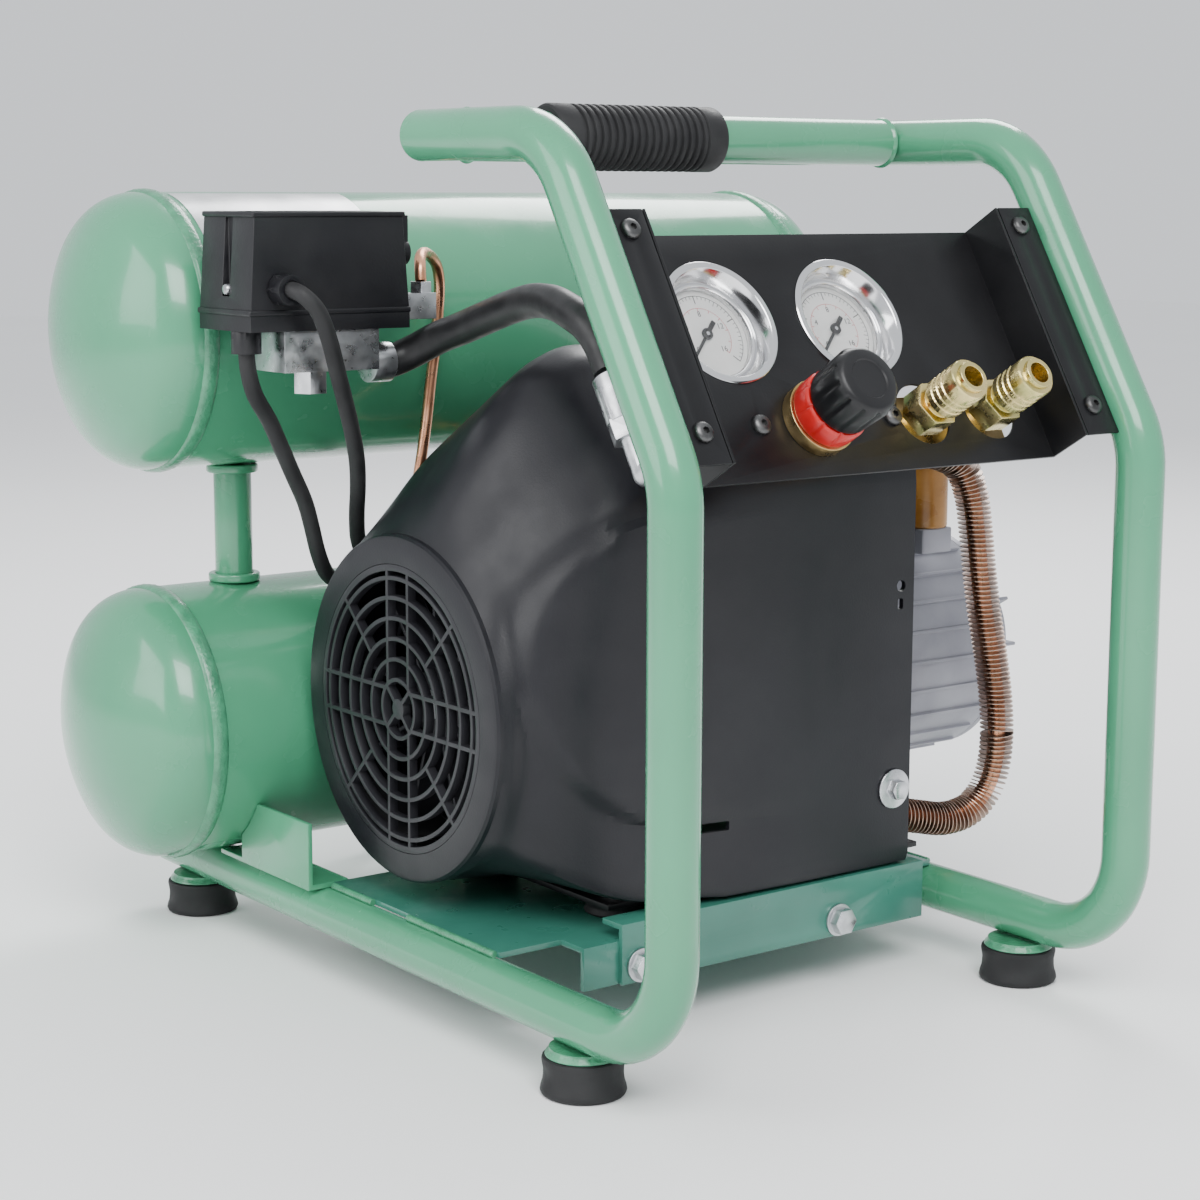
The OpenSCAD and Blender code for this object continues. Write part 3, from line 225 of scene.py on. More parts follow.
def lathe(name, profile, steps=64):
    """Turns a profile of (radius, height) in millimetres about +Z."""
    mesh = bpy.data.meshes.new(name)
    verts = [(r / 1000.0, 0.0, h / 1000.0) for r, h in profile]
    mesh.from_pydata(verts, [(i, i + 1) for i in range(len(verts) - 1)], [])
    ob = bpy.data.objects.new(name, mesh)
    bpy.context.collection.objects.link(ob)
    edit_all(ob)
    bpy.ops.mesh.spin(steps=steps, angle=math.tau, center=(0, 0, 0), axis=(0, 0, 1))
    bpy.ops.mesh.select_all(action="SELECT")
    bpy.ops.mesh.remove_doubles(threshold=0.000001)
    bpy.ops.mesh.normals_make_consistent(inside=False)
    bpy.ops.object.mode_set(mode="OBJECT")
    return ob


def closed(profile):
    """The profile with its ends carried to the axis."""
    first, last = profile[0], profile[-1]
    return [(0.0, first[1])] + list(profile) + [(0.0, last[1])]


def block(name, low, high, width=1.0, segments=2):
    """A block between two corners in drawing millimetres, with rounded edges."""
    a, b = at(*low), at(*high)
    clear()
    bpy.ops.mesh.primitive_cube_add(size=1.0, location=(a + b) / 2)
    ob = bpy.context.object
    ob.scale = b - a
    bake(ob)
    round_edges(ob, width, segments)
    return name_piece(ob, name)


def spline_points(route, steps=4):
    """Points of a smooth curve through a route given in drawing millimetres."""
    p = [at(*q) for q in route]
    out = []
    for i in range(len(p) - 1):
        a, b, c, d = p[max(i - 1, 0)], p[i], p[i + 1], p[min(i + 2, len(p) - 1)]
        for k in range(steps):
            u = k / steps
            out.append(0.5 * ((2 * b) + (c - a) * u + (2 * a - 5 * b + 4 * c - d) * u * u
                              + (3 * b - a - 3 * c + d) * u ** 3))
    return out + [p[-1]]


def sweep(name, points, radius, sides=24, cap=True):
    """A round bar along points in metres; radius in millimetres."""
    curve = bpy.data.curves.new(name, "CURVE")
    curve.dimensions = "3D"
    curve.bevel_depth = radius / 1000.0
    curve.bevel_resolution = max(1, sides // 4 - 1)
    curve.use_fill_caps = cap
    line = curve.splines.new("POLY")
    line.points.add(len(points) - 1)
    for q, p in zip(line.points, points):
        q.co = (*p, 1.0)
    ob = bpy.data.objects.new(name, curve)
    bpy.context.collection.objects.link(ob)
    pick(ob)
    bpy.ops.object.convert(target="MESH")
    ob = bpy.context.object
    outward(ob)
    smooth(ob, 50)
    return name_piece(ob, name)


def arc(centre, radius, first, last, steps=16):
    """Points of an arc in the plane of a side frame, as (y, z)."""
    out = []
    for k in range(steps + 1):
        a = math.radians(first + (last - first) * k / steps)
        out.append((centre[0] + radius * math.cos(a), centre[1] + radius * math.sin(a)))
    return out


def finish(ob, material, nodes=(), body=BODY):
    """Gives a piece its finish, its body and the CAD nodes it stands for."""
    ob.data.materials.clear()
    ob.data.materials.append(material)
    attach(ob, body)
    if nodes:
        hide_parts(*nodes)
    return ob


# ---- finishes ----

FINISHES = {}


class Finish:
    """A procedural material built on one Principled shader."""

    def __init__(self, name, colour, rough=0.4, metal=0.0, **sockets):
        self.mat = bpy.data.materials.new(name)
        self.mat.use_nodes = True
        self.nodes = self.mat.node_tree.nodes
        self.links = self.mat.node_tree.links
        self.shader = self.nodes["Principled BSDF"]
        self.shader.inputs["Base Color"].default_value = (*colour, 1.0)
        self.shader.inputs["Roughness"].default_value = rough
        self.shader.inputs["Metallic"].default_value = metal
        for key, value in sockets.items():
            self.shader.inputs[key.replace("_", " ")].default_value = value
        self.where = self.nodes.new("ShaderNodeTexCoord").outputs["Object"]
        self.height = None
        FINISHES[name] = self.mat

    def noise(self, scale, detail=3.0, stretch=None):
        source = self.where
        if stretch:
            m = self.nodes.new("ShaderNodeMapping")
            m.inputs["Scale"].default_value = stretch
            self.links.new(source, m.inputs["Vector"])
            source = m.outputs["Vector"]
        n = self.nodes.new("ShaderNodeTexNoise")
        n.inputs["Scale"].default_value = scale
        n.inputs["Detail"].default_value = detail
        n.inputs["Roughness"].default_value = 0.5
        self.links.new(source, n.inputs["Vector"])
        return n.outputs["Fac"]

    def span(self, value, low, high, out_low, out_high):
        m = self.nodes.new("ShaderNodeMapRange")
        for key, v in (("From Min", low), ("From Max", high), ("To Min", out_low), ("To Max", out_high)):
            m.inputs[key].default_value = v
        self.links.new(value, m.inputs["Value"])
        return m.outputs["Result"]

    def shade(self, grain, dark, light, low=0.35, high=0.65):
        """Colour runs from dark to light with a noise."""
        value = self.noise(*grain)
        r = self.nodes.new("ShaderNodeValToRGB")
        r.color_ramp.elements[0].position = low
        r.color_ramp.elements[0].color = (*dark, 1.0)
        r.color_ramp.elements[1].position = high
        r.color_ramp.elements[1].color = (*light, 1.0)
        self.links.new(value, r.inputs["Fac"])
        self.links.new(r.outputs["Color"], self.shader.inputs["Base Color"])
        return self

    def gloss(self, grain, low, high):
        """Roughness runs from low to high with a noise."""
        value = self.span(self.noise(*grain), 0.3, 0.7, low, high)
        self.links.new(value, self.shader.inputs["Roughness"])
        return self

    def relief(self, grain, depth, strength=1.0):
        """Adds a bump of a depth in millimetres."""
        value = self.noise(*grain)
        b = self.nodes.new("ShaderNodeBump")
        b.inputs["Distance"].default_value = depth / 1000.0
        b.inputs["Strength"].default_value = strength
        self.links.new(value, b.inputs["Height"])
        if self.height:
            self.links.new(self.height, b.inputs["Normal"])
        self.height = b.outputs["Normal"]
        self.links.new(self.height, self.shader.inputs["Normal"])
        return self


def make_finishes():
    p = bpy.context.scene.compressor_paint
    mint, deep = Vector(p.frame_colour), Vector(p.base_colour)
    f = Finish("frame_paint", mint, 0.22, Coat_Weight=0.5, Coat_Roughness=0.08)
    f.shade((9.0, 4), mint * 0.93, mint * 1.04).gloss((40.0,), 0.18, 0.3)
    f.relief((260.0, 2), 0.06, 0.5).relief((30.0, 2), 0.25, 0.3)
    f = Finish("weld_paint", mint * 0.9, 0.3, Coat_Weight=0.4, Coat_Roughness=0.15)
    f.shade((120.0, 4), mint * 0.7, mint).relief((420.0, 3), 0.8, 0.8)
    f = Finish("base_paint", deep, 0.3, Coat_Weight=0.4, Coat_Roughness=0.12)
    f.shade((14.0, 5), deep * 0.85, deep * 1.08).gloss((60.0,), 0.25, 0.42)
    f.relief((300.0, 2), 0.08, 0.5)
    f = Finish("panel_paint", (0.006, 0.006, 0.007), 0.3, Specular_IOR_Level=0.3)
    f.shade((20.0, 5), (0.004, 0.004, 0.005), (0.008, 0.008, 0.009))
    f.gloss((35.0,), 0.28, 0.42).relief((700.0, 2), 0.1, 0.4)
    f = Finish("shroud_plastic", (0.008, 0.008, 0.011), 0.36, Specular_IOR_Level=0.35)
    f.shade((12.0, 5), (0.006, 0.006, 0.009), (0.011, 0.011, 0.014))
    f.gloss((50.0, 4), 0.3, 0.44).relief((900.0, 2), 0.12, 0.5)
    f = Finish("grille_plastic", (0.018, 0.018, 0.021), 0.4, Specular_IOR_Level=0.35)
    f.shade((30.0, 4), (0.014, 0.014, 0.017), (0.024, 0.024, 0.028)).relief((800.0, 2), 0.1, 0.4)
    f = Finish("knob_plastic", (0.006, 0.006, 0.007), 0.35, Specular_IOR_Level=0.4)
    f.gloss((90.0, 3), 0.28, 0.45).relief((900.0, 2), 0.08, 0.4)
    f = Finish("switch_plastic", (0.007, 0.007, 0.009), 0.34, Specular_IOR_Level=0.4)
    f.shade((25.0, 4), (0.005, 0.005, 0.007), (0.010, 0.010, 0.012))
    f.gloss((70.0, 3), 0.33, 0.5).relief((600.0, 2), 0.15, 0.5)
    f = Finish("rubber", (0.008, 0.008, 0.009), 0.6, Specular_IOR_Level=0.35)
    f.shade((60.0, 5), (0.009, 0.009, 0.010), (0.02, 0.02, 0.021))
    f.gloss((120.0, 4), 0.5, 0.75).relief((500.0, 4), 0.15, 0.6)
    f = Finish("hose_rubber", (0.008, 0.008, 0.009), 0.42, Specular_IOR_Level=0.4)
    f.shade((80.0, 4), (0.009, 0.009, 0.010), (0.018, 0.018, 0.019))
    f.gloss((90.0, 3), 0.35, 0.5).relief((700.0, 3), 0.1, 0.5)
    f = Finish("red_plastic", (0.52, 0.012, 0.012), 0.3)
    f.shade((50.0, 3), (0.45, 0.010, 0.010), (0.6, 0.018, 0.016)).relief((600.0, 2), 0.06, 0.4)
    f = Finish("dial_enamel", (0.86, 0.86, 0.84), 0.35)
    f.shade((60.0, 3), (0.84, 0.84, 0.82), (0.9, 0.9, 0.88)).gloss((90.0,), 0.3, 0.42)
    f = Finish("dial_ink", (0.01, 0.01, 0.01), 0.5)
    f.gloss((300.0,), 0.4, 0.6)
    f = Finish("dial_red", (0.6, 0.02, 0.02), 0.5)
    f.gloss((300.0,), 0.4, 0.6)
    f = Finish("bezel_chrome", (0.75, 0.75, 0.76), 0.12, 1.0)
    f.gloss((120.0, 3), 0.08, 0.2).relief((300.0, 2), 0.03, 0.3)
    f = Finish("zinc_steel", (0.62, 0.63, 0.65), 0.3, 1.0)
    f.shade((90.0, 5), (0.5, 0.51, 0.53), (0.72, 0.73, 0.75)).gloss((150.0, 4), 0.22, 0.42)
    f.relief((400.0, 3), 0.05, 0.5)
    f = Finish("dark_steel", (0.1, 0.1, 0.1), 0.35, 1.0)
    f.shade((120.0, 4), (0.06, 0.06, 0.06), (0.16, 0.16, 0.16)).gloss((150.0, 4), 0.3, 0.5)
    f = Finish("yellow_zinc", (0.72, 0.58, 0.24), 0.26, 1.0)
    f.shade((70.0, 4), (0.55, 0.5, 0.2), (0.85, 0.68, 0.32)).gloss((160.0, 4), 0.18, 0.36)
    f.relief((500.0, 3), 0.04, 0.4)
    f = Finish("brass", (0.68, 0.48, 0.2), 0.3, 1.0)
    f.shade((60.0, 5), (0.5, 0.34, 0.13), (0.78, 0.58, 0.28)).gloss((120.0, 4), 0.22, 0.42)
    f.relief((420.0, 3), 0.06, 0.4)
    f = Finish("copper", (0.72, 0.34, 0.19), 0.28, 1.0)
    f.shade((55.0, 5), (0.5, 0.22, 0.12), (0.85, 0.44, 0.27)).gloss((130.0, 4), 0.2, 0.4)
    f = Finish("fin_copper", (0.42, 0.32, 0.26), 0.36, 1.0)
    f.shade((16.0, 4), (0.26, 0.23, 0.21), (0.62, 0.42, 0.32), 0.3, 0.7).gloss((160.0, 4), 0.26, 0.45)
    f = Finish("cast_aluminium", (0.3, 0.3, 0.32), 0.48, 0.85)
    f.shade((45.0, 6), (0.23, 0.23, 0.25), (0.36, 0.36, 0.38)).gloss((180.0, 4), 0.4, 0.6)
    f.relief((550.0, 4), 0.2, 0.5)
    f = Finish("motor_grey", (0.27, 0.27, 0.31), 0.4, 0.35)
    f.shade((30.0, 5), (0.23, 0.23, 0.265), (0.32, 0.32, 0.36)).gloss((120.0, 4), 0.33, 0.5)
    f.relief((420.0, 3), 0.12, 0.4)
    f = Finish("iron", (0.2, 0.2, 0.21), 0.45, 0.9)
    f.shade((80.0, 5), (0.13, 0.13, 0.14), (0.28, 0.28, 0.29)).relief((400.0, 3), 0.1, 0.4)
    f = Finish("label_foil", (0.6, 0.61, 0.62), 0.32, 0.7)
    f.shade((40.0, 4), (0.52, 0.53, 0.54), (0.68, 0.69, 0.7))
    f.relief((300.0, 2, (0.05, 1, 1)), 0.02, 0.4)
    f = Finish("amber_plastic", (0.35, 0.16, 0.035), 0.3)
    f.shade((40.0, 4), (0.24, 0.1, 0.02), (0.45, 0.22, 0.05)).gloss((80.0,), 0.22, 0.38)
    f = Finish("gauge_glass", (1.0, 1.0, 1.0), 0.03, IOR=1.45, Transmission_Weight=1.0)
    f = Finish("floor_paper", (0.96, 0.96, 0.96), 0.9)
    f.shade((2.0, 2), (0.955, 0.955, 0.955), (0.965, 0.965, 0.965))


def use(name):
    return FINISHES[name]


# ---- sizes and colours a user may change ----

class CompressorPaint(bpy.types.PropertyGroup):
    frame_colour: FloatVectorProperty(
        name="Frame colour", description="Paint of the frame and tanks",
        subtype="COLOR", size=3, min=0.0, max=1.0, default=(0.062, 0.29, 0.155))
    base_colour: FloatVectorProperty(
        name="Base colour", description="Paint of the tray and channel",
        subtype="COLOR", size=3, min=0.0, max=1.0, default=(0.035, 0.17, 0.125))


class CompressorSizes(bpy.types.PropertyGroup):
    tube_radius: FloatProperty(
        name="Tube radius", description="Outside radius of the frame tube, in millimetres",
        default=12.7, min=10.0, max=16.0)
    cord_radius: FloatProperty(
        name="Cord radius", description="Radius of the supply cord, in millimetres",
        default=4.5, min=3.0, max=6.0)
    fin_pitch: FloatProperty(
        name="Fin pitch", description="Distance between aftercooler fins, in millimetres",
        default=2.8, min=2.4, max=6.0)
    light_power: FloatProperty(
        name="Light power", description="Power of the key light", unit="POWER",
        default=58.0, min=1.0, max=500.0)


# ---- stage ----

class COMPRESSOR_OT_stage(bpy.types.Operator):
    """Adds the floor, the soft lights and the camera"""
    bl_idname = "compressor.stage"
    bl_label = "Stage"

    def execute(self, context):
        eye = at(-836.67, -857.09, 430.70)
        yaw, pitch, roll = math.radians(53.168), math.radians(-9.301), math.radians(0.165)
        ahead = Vector((math.cos(yaw) * math.cos(pitch), math.sin(yaw) * math.cos(pitch), math.sin(pitch)))
        side = Vector((math.sin(yaw), -math.cos(yaw), 0.0))
        up = side.cross(ahead)
        right = side * math.cos(roll) + up * math.sin(roll)
        top = up * math.cos(roll) - side * math.sin(roll)
        clear()
        bpy.ops.object.camera_add(location=eye)
        cam = context.object
        turn = Matrix((right, top, -ahead)).transposed().to_4x4()
        cam.matrix_world = Matrix.Translation(eye) @ turn
        cam.data.lens = 74.8
        cam.data.sensor_width = 36.0
        cam.data.clip_end = 50.0
        context.scene.camera = cam

        clear()
        bpy.ops.mesh.primitive_plane_add(size=14.0, location=(0, 0, -0.0002))
        floor = context.object
        floor.name = "floor"
        floor.data.materials.append(use("floor_paper"))

        world = bpy.data.worlds.new("studio")
        context.scene.world = world
        world.use_nodes = True
        world.node_tree.nodes["Background"].inputs["Color"].default_value = (0.93, 0.96, 1.0, 1.0)
        world.node_tree.nodes["Background"].inputs["Strength"].default_value = 1.0
        power = context.scene.compressor_sizes.light_power
        for name, spot, size, share in (
                ("key", (-0.9, -1.6, 1.9), 1.3, 1.0),
                ("fill", (-2.1, 0.2, 1.1), 1.4, 0.45),
                ("back", (1.3, 1.1, 1.8), 1.0, 0.6)):
            clear()
            bpy.ops.object.light_add(type="AREA", location=spot)
            lamp = context.object
            lamp.name = name
            lamp.data.size = size
            lamp.data.energy = power * share
            aim = (Vector((0, 0, 0.25)) - Vector(spot)).to_track_quat("-Z", "Y")
            lamp.rotation_euler = aim.to_euler()
        return {"FINISHED"}


# ---- supply cord ----

SUPPLY_ROUTE = [
    (-197, 308, 356), (-197, 308, 346), (-195, 309.5, 335), (-190, 312, 323),
    (-179, 317, 309), (-169, 321, 292), (-160, 325, 277), (-151, 329, 262), (-144, 334, 247),
    (-137, 340, 232), (-128, 347, 219), (-115, 357, 211), (-98, 370, 208), (-82, 384, 209),
    (-68, 400, 211), (-58, 416, 212), (-50, 432, 212), (-43, 448, 211), (-37, 464, 207),
    (-32, 480, 199), (-28, 495, 184), (-24, 507, 165), (-20, 514, 143), (-15, 517, 118),
    (-9, 518, 92), (-2, 518, 66), (6, 519, 44), (16, 519, 26), (30, 519, 12), (48, 519, 6),
    (72, 519, 4.8), (100, 519.5, 4.7), (125, 523, 4.7),
]
COIL_CENTRE = (150, 585)


def coil_route():
    """Three turns on the floor, then the run to the plug's boot."""
    route = []
    for k in range(54):
        turn = k / 18.0
        out = 56.5 if turn < 0.9 else 47.5 if turn > 1.1 else 56.5 - 9.0 * (turn - 0.9) / 0.2
        high = 4.7 if turn < 1.9 else 13.7 if turn > 2.1 else 4.7 + 9.0 * (turn - 1.9) / 0.2
        a = math.radians(-90 + 360 * turn)
        route.append((COIL_CENTRE[0] + out * math.cos(a), COIL_CENTRE[1] + out * math.sin(a), high))
    route += [(152, 538, 13.8), (172, 539, 14.2), (190, 545, 14.8), (205, 556, 15.3),
              (214, 570, 15.5), (218, 586, 15.5)]
    return route


class COMPRESSOR_OT_supply_cord(bpy.types.Operator):
    """Adds the supply cord with its coil and plug"""
    bl_idname = "compressor.supply_cord"
    bl_label = "Supply cord"

    def execute(self, context):
        radius = context.scene.compressor_sizes.cord_radius
        path = spline_points(SUPPLY_ROUTE + coil_route(), 3)
        cord = sweep("supply_cord_run", path, radius, 16)
        plug = copy_node("supply_plug", "plug_body", 2.0, 3)
        finish(plug, use("switch_plastic"), ["supply_plug"])
        finish(cord, use("rubber"), ["supply_cord", "supply_cord_coil"])
        return {"FINISHED"}


# ---- frame ----

def tube_line(x):
    """Centreline of a side frame's bent tube, from its rear end to its top end."""
    r = BEND_R
    turn = 90.0 - math.degrees(SLOPE)
    knee = r * math.tan(math.radians(turn / 2))
    top = r * math.tan(SLOPE / 2)
    flat = [(RAIL_END_Y, RAIL_Z), (300.0, RAIL_Z), (150.0, RAIL_Z)]
    flat += arc((r, RAIL_Z + r), r, 270, 180)
    flat += arc((r, KNEE_Z - knee), r, 180, 180 - turn, 8)
    flat += arc((SLOPE_RUN + top, TOP_Z - r), r, 90 + math.degrees(SLOPE), 90, 12)
    flat += [(TOP_END_Y, TOP_Z)]
    return [at(x, y, z) for y, z in flat]


class COMPRESSOR_OT_side_frames(bpy.types.Operator):
    """Adds the two bent side tubes with their panel tabs"""
    bl_idname = "compressor.side_frames"
    bl_label = "Side frames"

    def execute(self, context):
        radius = context.scene.compressor_sizes.tube_radius
        for side, node in ((-1, "left_side_frame"), (1, "right_side_frame")):
            line = tube_line(SIDE_X * side)
            tube = sweep(node + "_tube", line, radius, 40, cap=False)
            hollow(tube, 0.002)
            smooth(tube, 50)
            cap = lathe("cap", closed([(12.6, 0), (12.7, 0.2), (12.5, 1.4), (11.6, 2.5), (9.8, 3.0)]), 40)
            end = Matrix.Translation(at(SIDE_X * side, TOP_END_Y, TOP_Z))
            place(cap, end @ Matrix.Rotation(-math.pi / 2, 4, "X"))
            smooth(cap, 60)
            bits = [tube, cap]
            for s in (23, 128):
                clear()
                bpy.ops.mesh.primitive_cube_add(size=1.0)
                tab = context.object
                tab.scale = (0.0235, 0.018, 0.004)
                bake(tab)
                round_edges(tab, 0.5)
                place(tab, slope_matrix(side * 130.2, s, -3.6))
                bits.append(tab)
            ob = join(bits, node + "_finished")
            finish(ob, use("frame_paint"), [node])
        return {"FINISHED"}


class COMPRESSOR_OT_handle(bpy.types.Operator):
    """Adds the crossbar, its welds and the ribbed rubber grip"""
    bl_idname = "compressor.handle"
    bl_label = "Handle"

    def execute(self, context):
        bar = lathe("bar", [(12.7, -140.2), (12.7, 140.2), (10.7, 140.2), (10.7, -140.2), (12.7, -140.2)], 48)
        bits = [bar]
        for side in (-1, 1):
            bead = lathe("bead", [(12.6, 0), (13.4, 0.2), (13.9, 1.0), (13.4, 2.2), (12.7, 3.0)], 48)
            place(bead, Matrix.Scale(side, 4, (0, 0, 1)) @ Matrix.Translation((0, 0, -0.1402)))
            outward(bead)
            bits.append(bead)
        ob = join(bits, "handle_bar")
        place(ob, across(0, BAR_Y, TOP_Z))
        smooth(ob, 50)
        finish(ob, use("frame_paint"), ["handle_crossbar"])

        half = 54.0
        line = [(12.9, -half), (15.4, -half), (16.4, -half + 0.6), (17.0, -half + 1.8), (17.0, -half + 13)]
        ribs = 17
        step = (2 * half - 28) / ribs
        for k in range(ribs):
            low = -half + 14 + k * step
            line += [(15.5, low), (15.5, low + step * 0.3), (16.8, low + step * 0.42),
                     (17.0, low + step * 0.6), (16.8, low + step * 0.85)]
        line += [(15.5, half - 14), (17.0, half - 13), (17.0, half - 1.8), (16.4, half - 0.6),
                 (15.4, half), (12.9, half), (12.9, -half)]
        grip = lathe("grip_sleeve", line, 56)
        place(grip, across(-38, BAR_Y, TOP_Z))
        smooth(grip, 30)
        finish(grip, use("rubber"), ["handle_grip"])
        return {"FINISHED"}


class COMPRESSOR_OT_feet(bpy.types.Operator):
    """Adds the four waisted rubber feet and their welded cups"""
    bl_idname = "compressor.feet"
    bl_label = "Feet"

    def execute(self, context):
        shape = closed([(19.4, 0), (20.7, 0.5), (21.3, 1.8), (21.0, 3.6), (20.1, 6.4), (19.7, 9.5),
                        (19.7, 12.5), (20.2, 15.4), (20.5, 17.2), (20.2, 18.5), (19.3, 19.0)])
        pads, cups = [], []
        for x, y in ((-150, 72), (-150, 462), (150, 72), (150, 462)):
            pad = lathe("pad", shape, 48)
            place(pad, Matrix.Translation(at(x, y, 0)))
            pads.append(pad)
            cup = lathe("cup", closed([(18.4, 0.05), (18.9, 0.5), (18.6, 1.6), (17.2, 2.6), (16.9, 4.2)]), 48)
            place(cup, Matrix.Translation(at(x, y, 19)))
            cups.append(cup)
        pad = smooth(join(pads, "foot_pads"), 45)
        finish(pad, use("rubber"), ["rubber_feet"])
        cup = smooth(join(cups, "foot_seats"), 45)
        finish(cup, use("weld_paint"), ["foot_cups"])
        return {"FINISHED"}


# ---- tanks ----

TANK_Y = 430.0
LOW_Z = 127.0
HIGH_Z = 352.0
LEFT_X = -198.0
RIGHT_X = 237.0


def head_profile(r=78.0):
    """Half of a dished head as (radius, depth), from the weld to the middle."""
    crown, knuckle = 1.6 * r, 0.385 * r
    back = math.sqrt((crown - knuckle) ** 2 - (r - knuckle) ** 2)
    tangent = math.atan2(r - knuckle, back)
    out = []
    for k in range(13):
        a = math.pi / 2 - (math.pi / 2 - tangent) * k / 12
        out.append((r - knuckle + knuckle * math.sin(a), knuckle * math.cos(a)))
    for k in range(1, 15):
        a = tangent * (1 - k / 14)
        out.append((crown * math.sin(a), crown * math.cos(a) - back))
    return out


class COMPRESSOR_OT_tanks(bpy.types.Operator):
    """Adds both tanks with dished heads, weld beads, link pipes and the label"""
    bl_idname = "compressor.tanks"
    bl_label = "Tanks"

    def execute(self, context):
        head = head_profile()
        for z, node, name in ((HIGH_Z, "upper_tank_shell", "upper_tank"),
                              (LOW_Z, "lower_tank_shell", "lower_tank")):
            profile = [(r, LEFT_X - d) for r, d in reversed(head)] + [(r, RIGHT_X + d) for r, d in head]
            body = lathe("body", profile, 128)
            place(body, across(0, TANK_Y, z))
            smooth(body, 60)
            finish(join([body], name), use("frame_paint"), [node])
        beads = []
        for z in (HIGH_Z, LOW_Z):
            for x in (LEFT_X + 4.5, RIGHT_X - 4.5):
                bead = lathe("bead", [(77.8, -4.8), (78.9, -4.2), (79.7, -2.6), (80.0, 0), (79.7, 2.6),
                                      (78.9, 4.2), (77.8, 4.8)], 160)
                reshape(bead, lambda r, a, z: 1.0 - 0.0035 * (0.5 + 0.5 * math.sin(a * 90 + z * 500)))
                place(bead, across(x, TANK_Y, z))
                beads.append(bead)
        ring = smooth(join(beads, "tank_weld_beads"), 60)
        finish(ring, use("weld_paint"), ["tank_heads"])
        dress("tank_link_pipes", "link_pipes", "frame_paint", 1.2)
        dress("tank_label", "blank_label", "label_foil", 0.0)
        dress("tank_fittings", "tank_ports", "brass", 0.5, 2)
        dress("drain_tap", "drain_wing", "brass", 0.5, 2, "drain_handle")
        dress("tank_brackets", "rail_brackets", "frame_paint", 0.5, 2)
        return {"FINISHED"}


# ---- base ----

def weld_run(a, b, radius=2.2, step=2.4):
    """A lumpy weld bead between two drawing points, as one mesh."""
    a, b = at(*a), at(*b)
    count = max(2, int((b - a).length * 1000 / step))
    points = [a.lerp(b, k / (count * 4)) for k in range(count * 4 + 1)]
    ob = sweep("bead", points, radius, 12)
    axis = (b - a).normalized()
    for v in ob.data.vertices:
        along = (v.co - a).dot(axis)
        centre = a + axis * along
        out = v.co - centre
        v.co = centre + out * (0.86 + 0.14 * abs(math.sin(along * 1000 * math.pi / step)))
    return ob


PAD_SHAPE = [(4.0, 0.1), (15.6, 0.1), (16.6, 0.8), (17.0, 1.6), (16.2, 3.0), (15.8, 4.0), (16.2, 5.0),
             (17.0, 6.4), (16.6, 7.3), (15.6, 7.9), (4.0, 7.9), (4.0, 0.1)]


class COMPRESSOR_OT_base(bpy.types.Operator):
    """Adds the tray, the channel, the cradle, its mounts, bolts and welds"""
    bl_idname = "compressor.base"
    bl_label = "Base"

    def execute(self, context):
        for node, name, finish_name, slot in (
                ("base_tray", "tray", "base_paint", "base_paint"),
                ("front_channel", "channel", "base_paint", "base_paint"),
                ("motor_cradle", "cradle", "panel_paint", "black_paint")):
            dress(node, name, finish_name, 0.9)
        welds = []
        for side in (-1, 1):
            welds.append(weld_run((side * 151.5, 146, 50.2), (side * 151.5, 226, 50.2)))
            welds.append(weld_run((side * 151.5, 262, 50.2), (side * 151.5, 303, 50.2)))
            welds.append(weld_run((side * 140.8, 308, 50.6), (side * 140.8, 402, 50.6), 1.6))
        ob = join(welds, "base_welds")
        finish(smooth(ob, 70), use("weld_paint"))
        dress("base_bolts", "bolt_heads", "zinc_steel", 0.7)
        pads = []
        for x in (-58, 128):
            for y in (168, 285):
                pad = lathe("pad", PAD_SHAPE, 48)
                place(pad, Matrix.Translation(at(x, y, 51.8)))
                pads.append(pad)
        ob = smooth(join(pads, "rubber_mounts"), 45)
        finish(ob, use("rubber"), ["mount_isolators"])
        return {"FINISHED"}


# ---- control panel ----

class COMPRESSOR_OT_panel(bpy.types.Operator):
    """Adds the folded panel and its button-headed screws"""
    bl_idname = "compressor.panel"
    bl_label = "Control panel"

    def execute(self, context):
        dress("control_panel", "folded_panel", "panel_paint", 0.7)
        screws = []
        spots = [(side * 128.3, s, 0.0) for side in (-1, 1) for s in (23, 128)]
        spots += [(x, CONTROL_S, -25.0) for x in (-70, 15)]
        for x, s, t in spots:
            head = lathe("head", closed([(5.2, 0.05), (5.3, 0.6), (4.9, 1.8), (3.9, 2.7), (2.7, 3.05)]), 40)
            pick(head)
            bpy.ops.mesh.primitive_cylinder_add(
                vertices=6, radius=0.00185, depth=0.004, location=(0, 0, 0.0031))
            socket = context.object
            cut_away(head, socket, "Socket")
            place(head, slope_matrix(x, s, t))
            screws.append(head)
        ob = smooth(join(screws, "panel_screw_heads"), 40)
        finish(ob, use("dark_steel"), ["panel_screws"])
        return {"FINISHED"}


# ---- gauges ----

def gauge_places():
    return ((-72, "tank_gauge_needle", "tank_needle"), (11, "outlet_gauge_needle", "outlet_needle"))


def bar_mark(inner, outer, width, angle, matrix, lift=0.0):
    """One flat scale mark on a dial; sizes in millimetres, angle in degrees."""
    clear()
    bpy.ops.mesh.primitive_plane_add(size=1.0)
    ob = bpy.context.object
    ob.scale = ((outer - inner) / 1000, width / 1000, 1)
    ob.location = ((inner + outer) / 2000, 0, 0)
    bake(ob)
    return place(ob, matrix @ Matrix.Translation((0, 0, lift)) @ Matrix.Rotation(math.radians(angle), 4, "Z"))


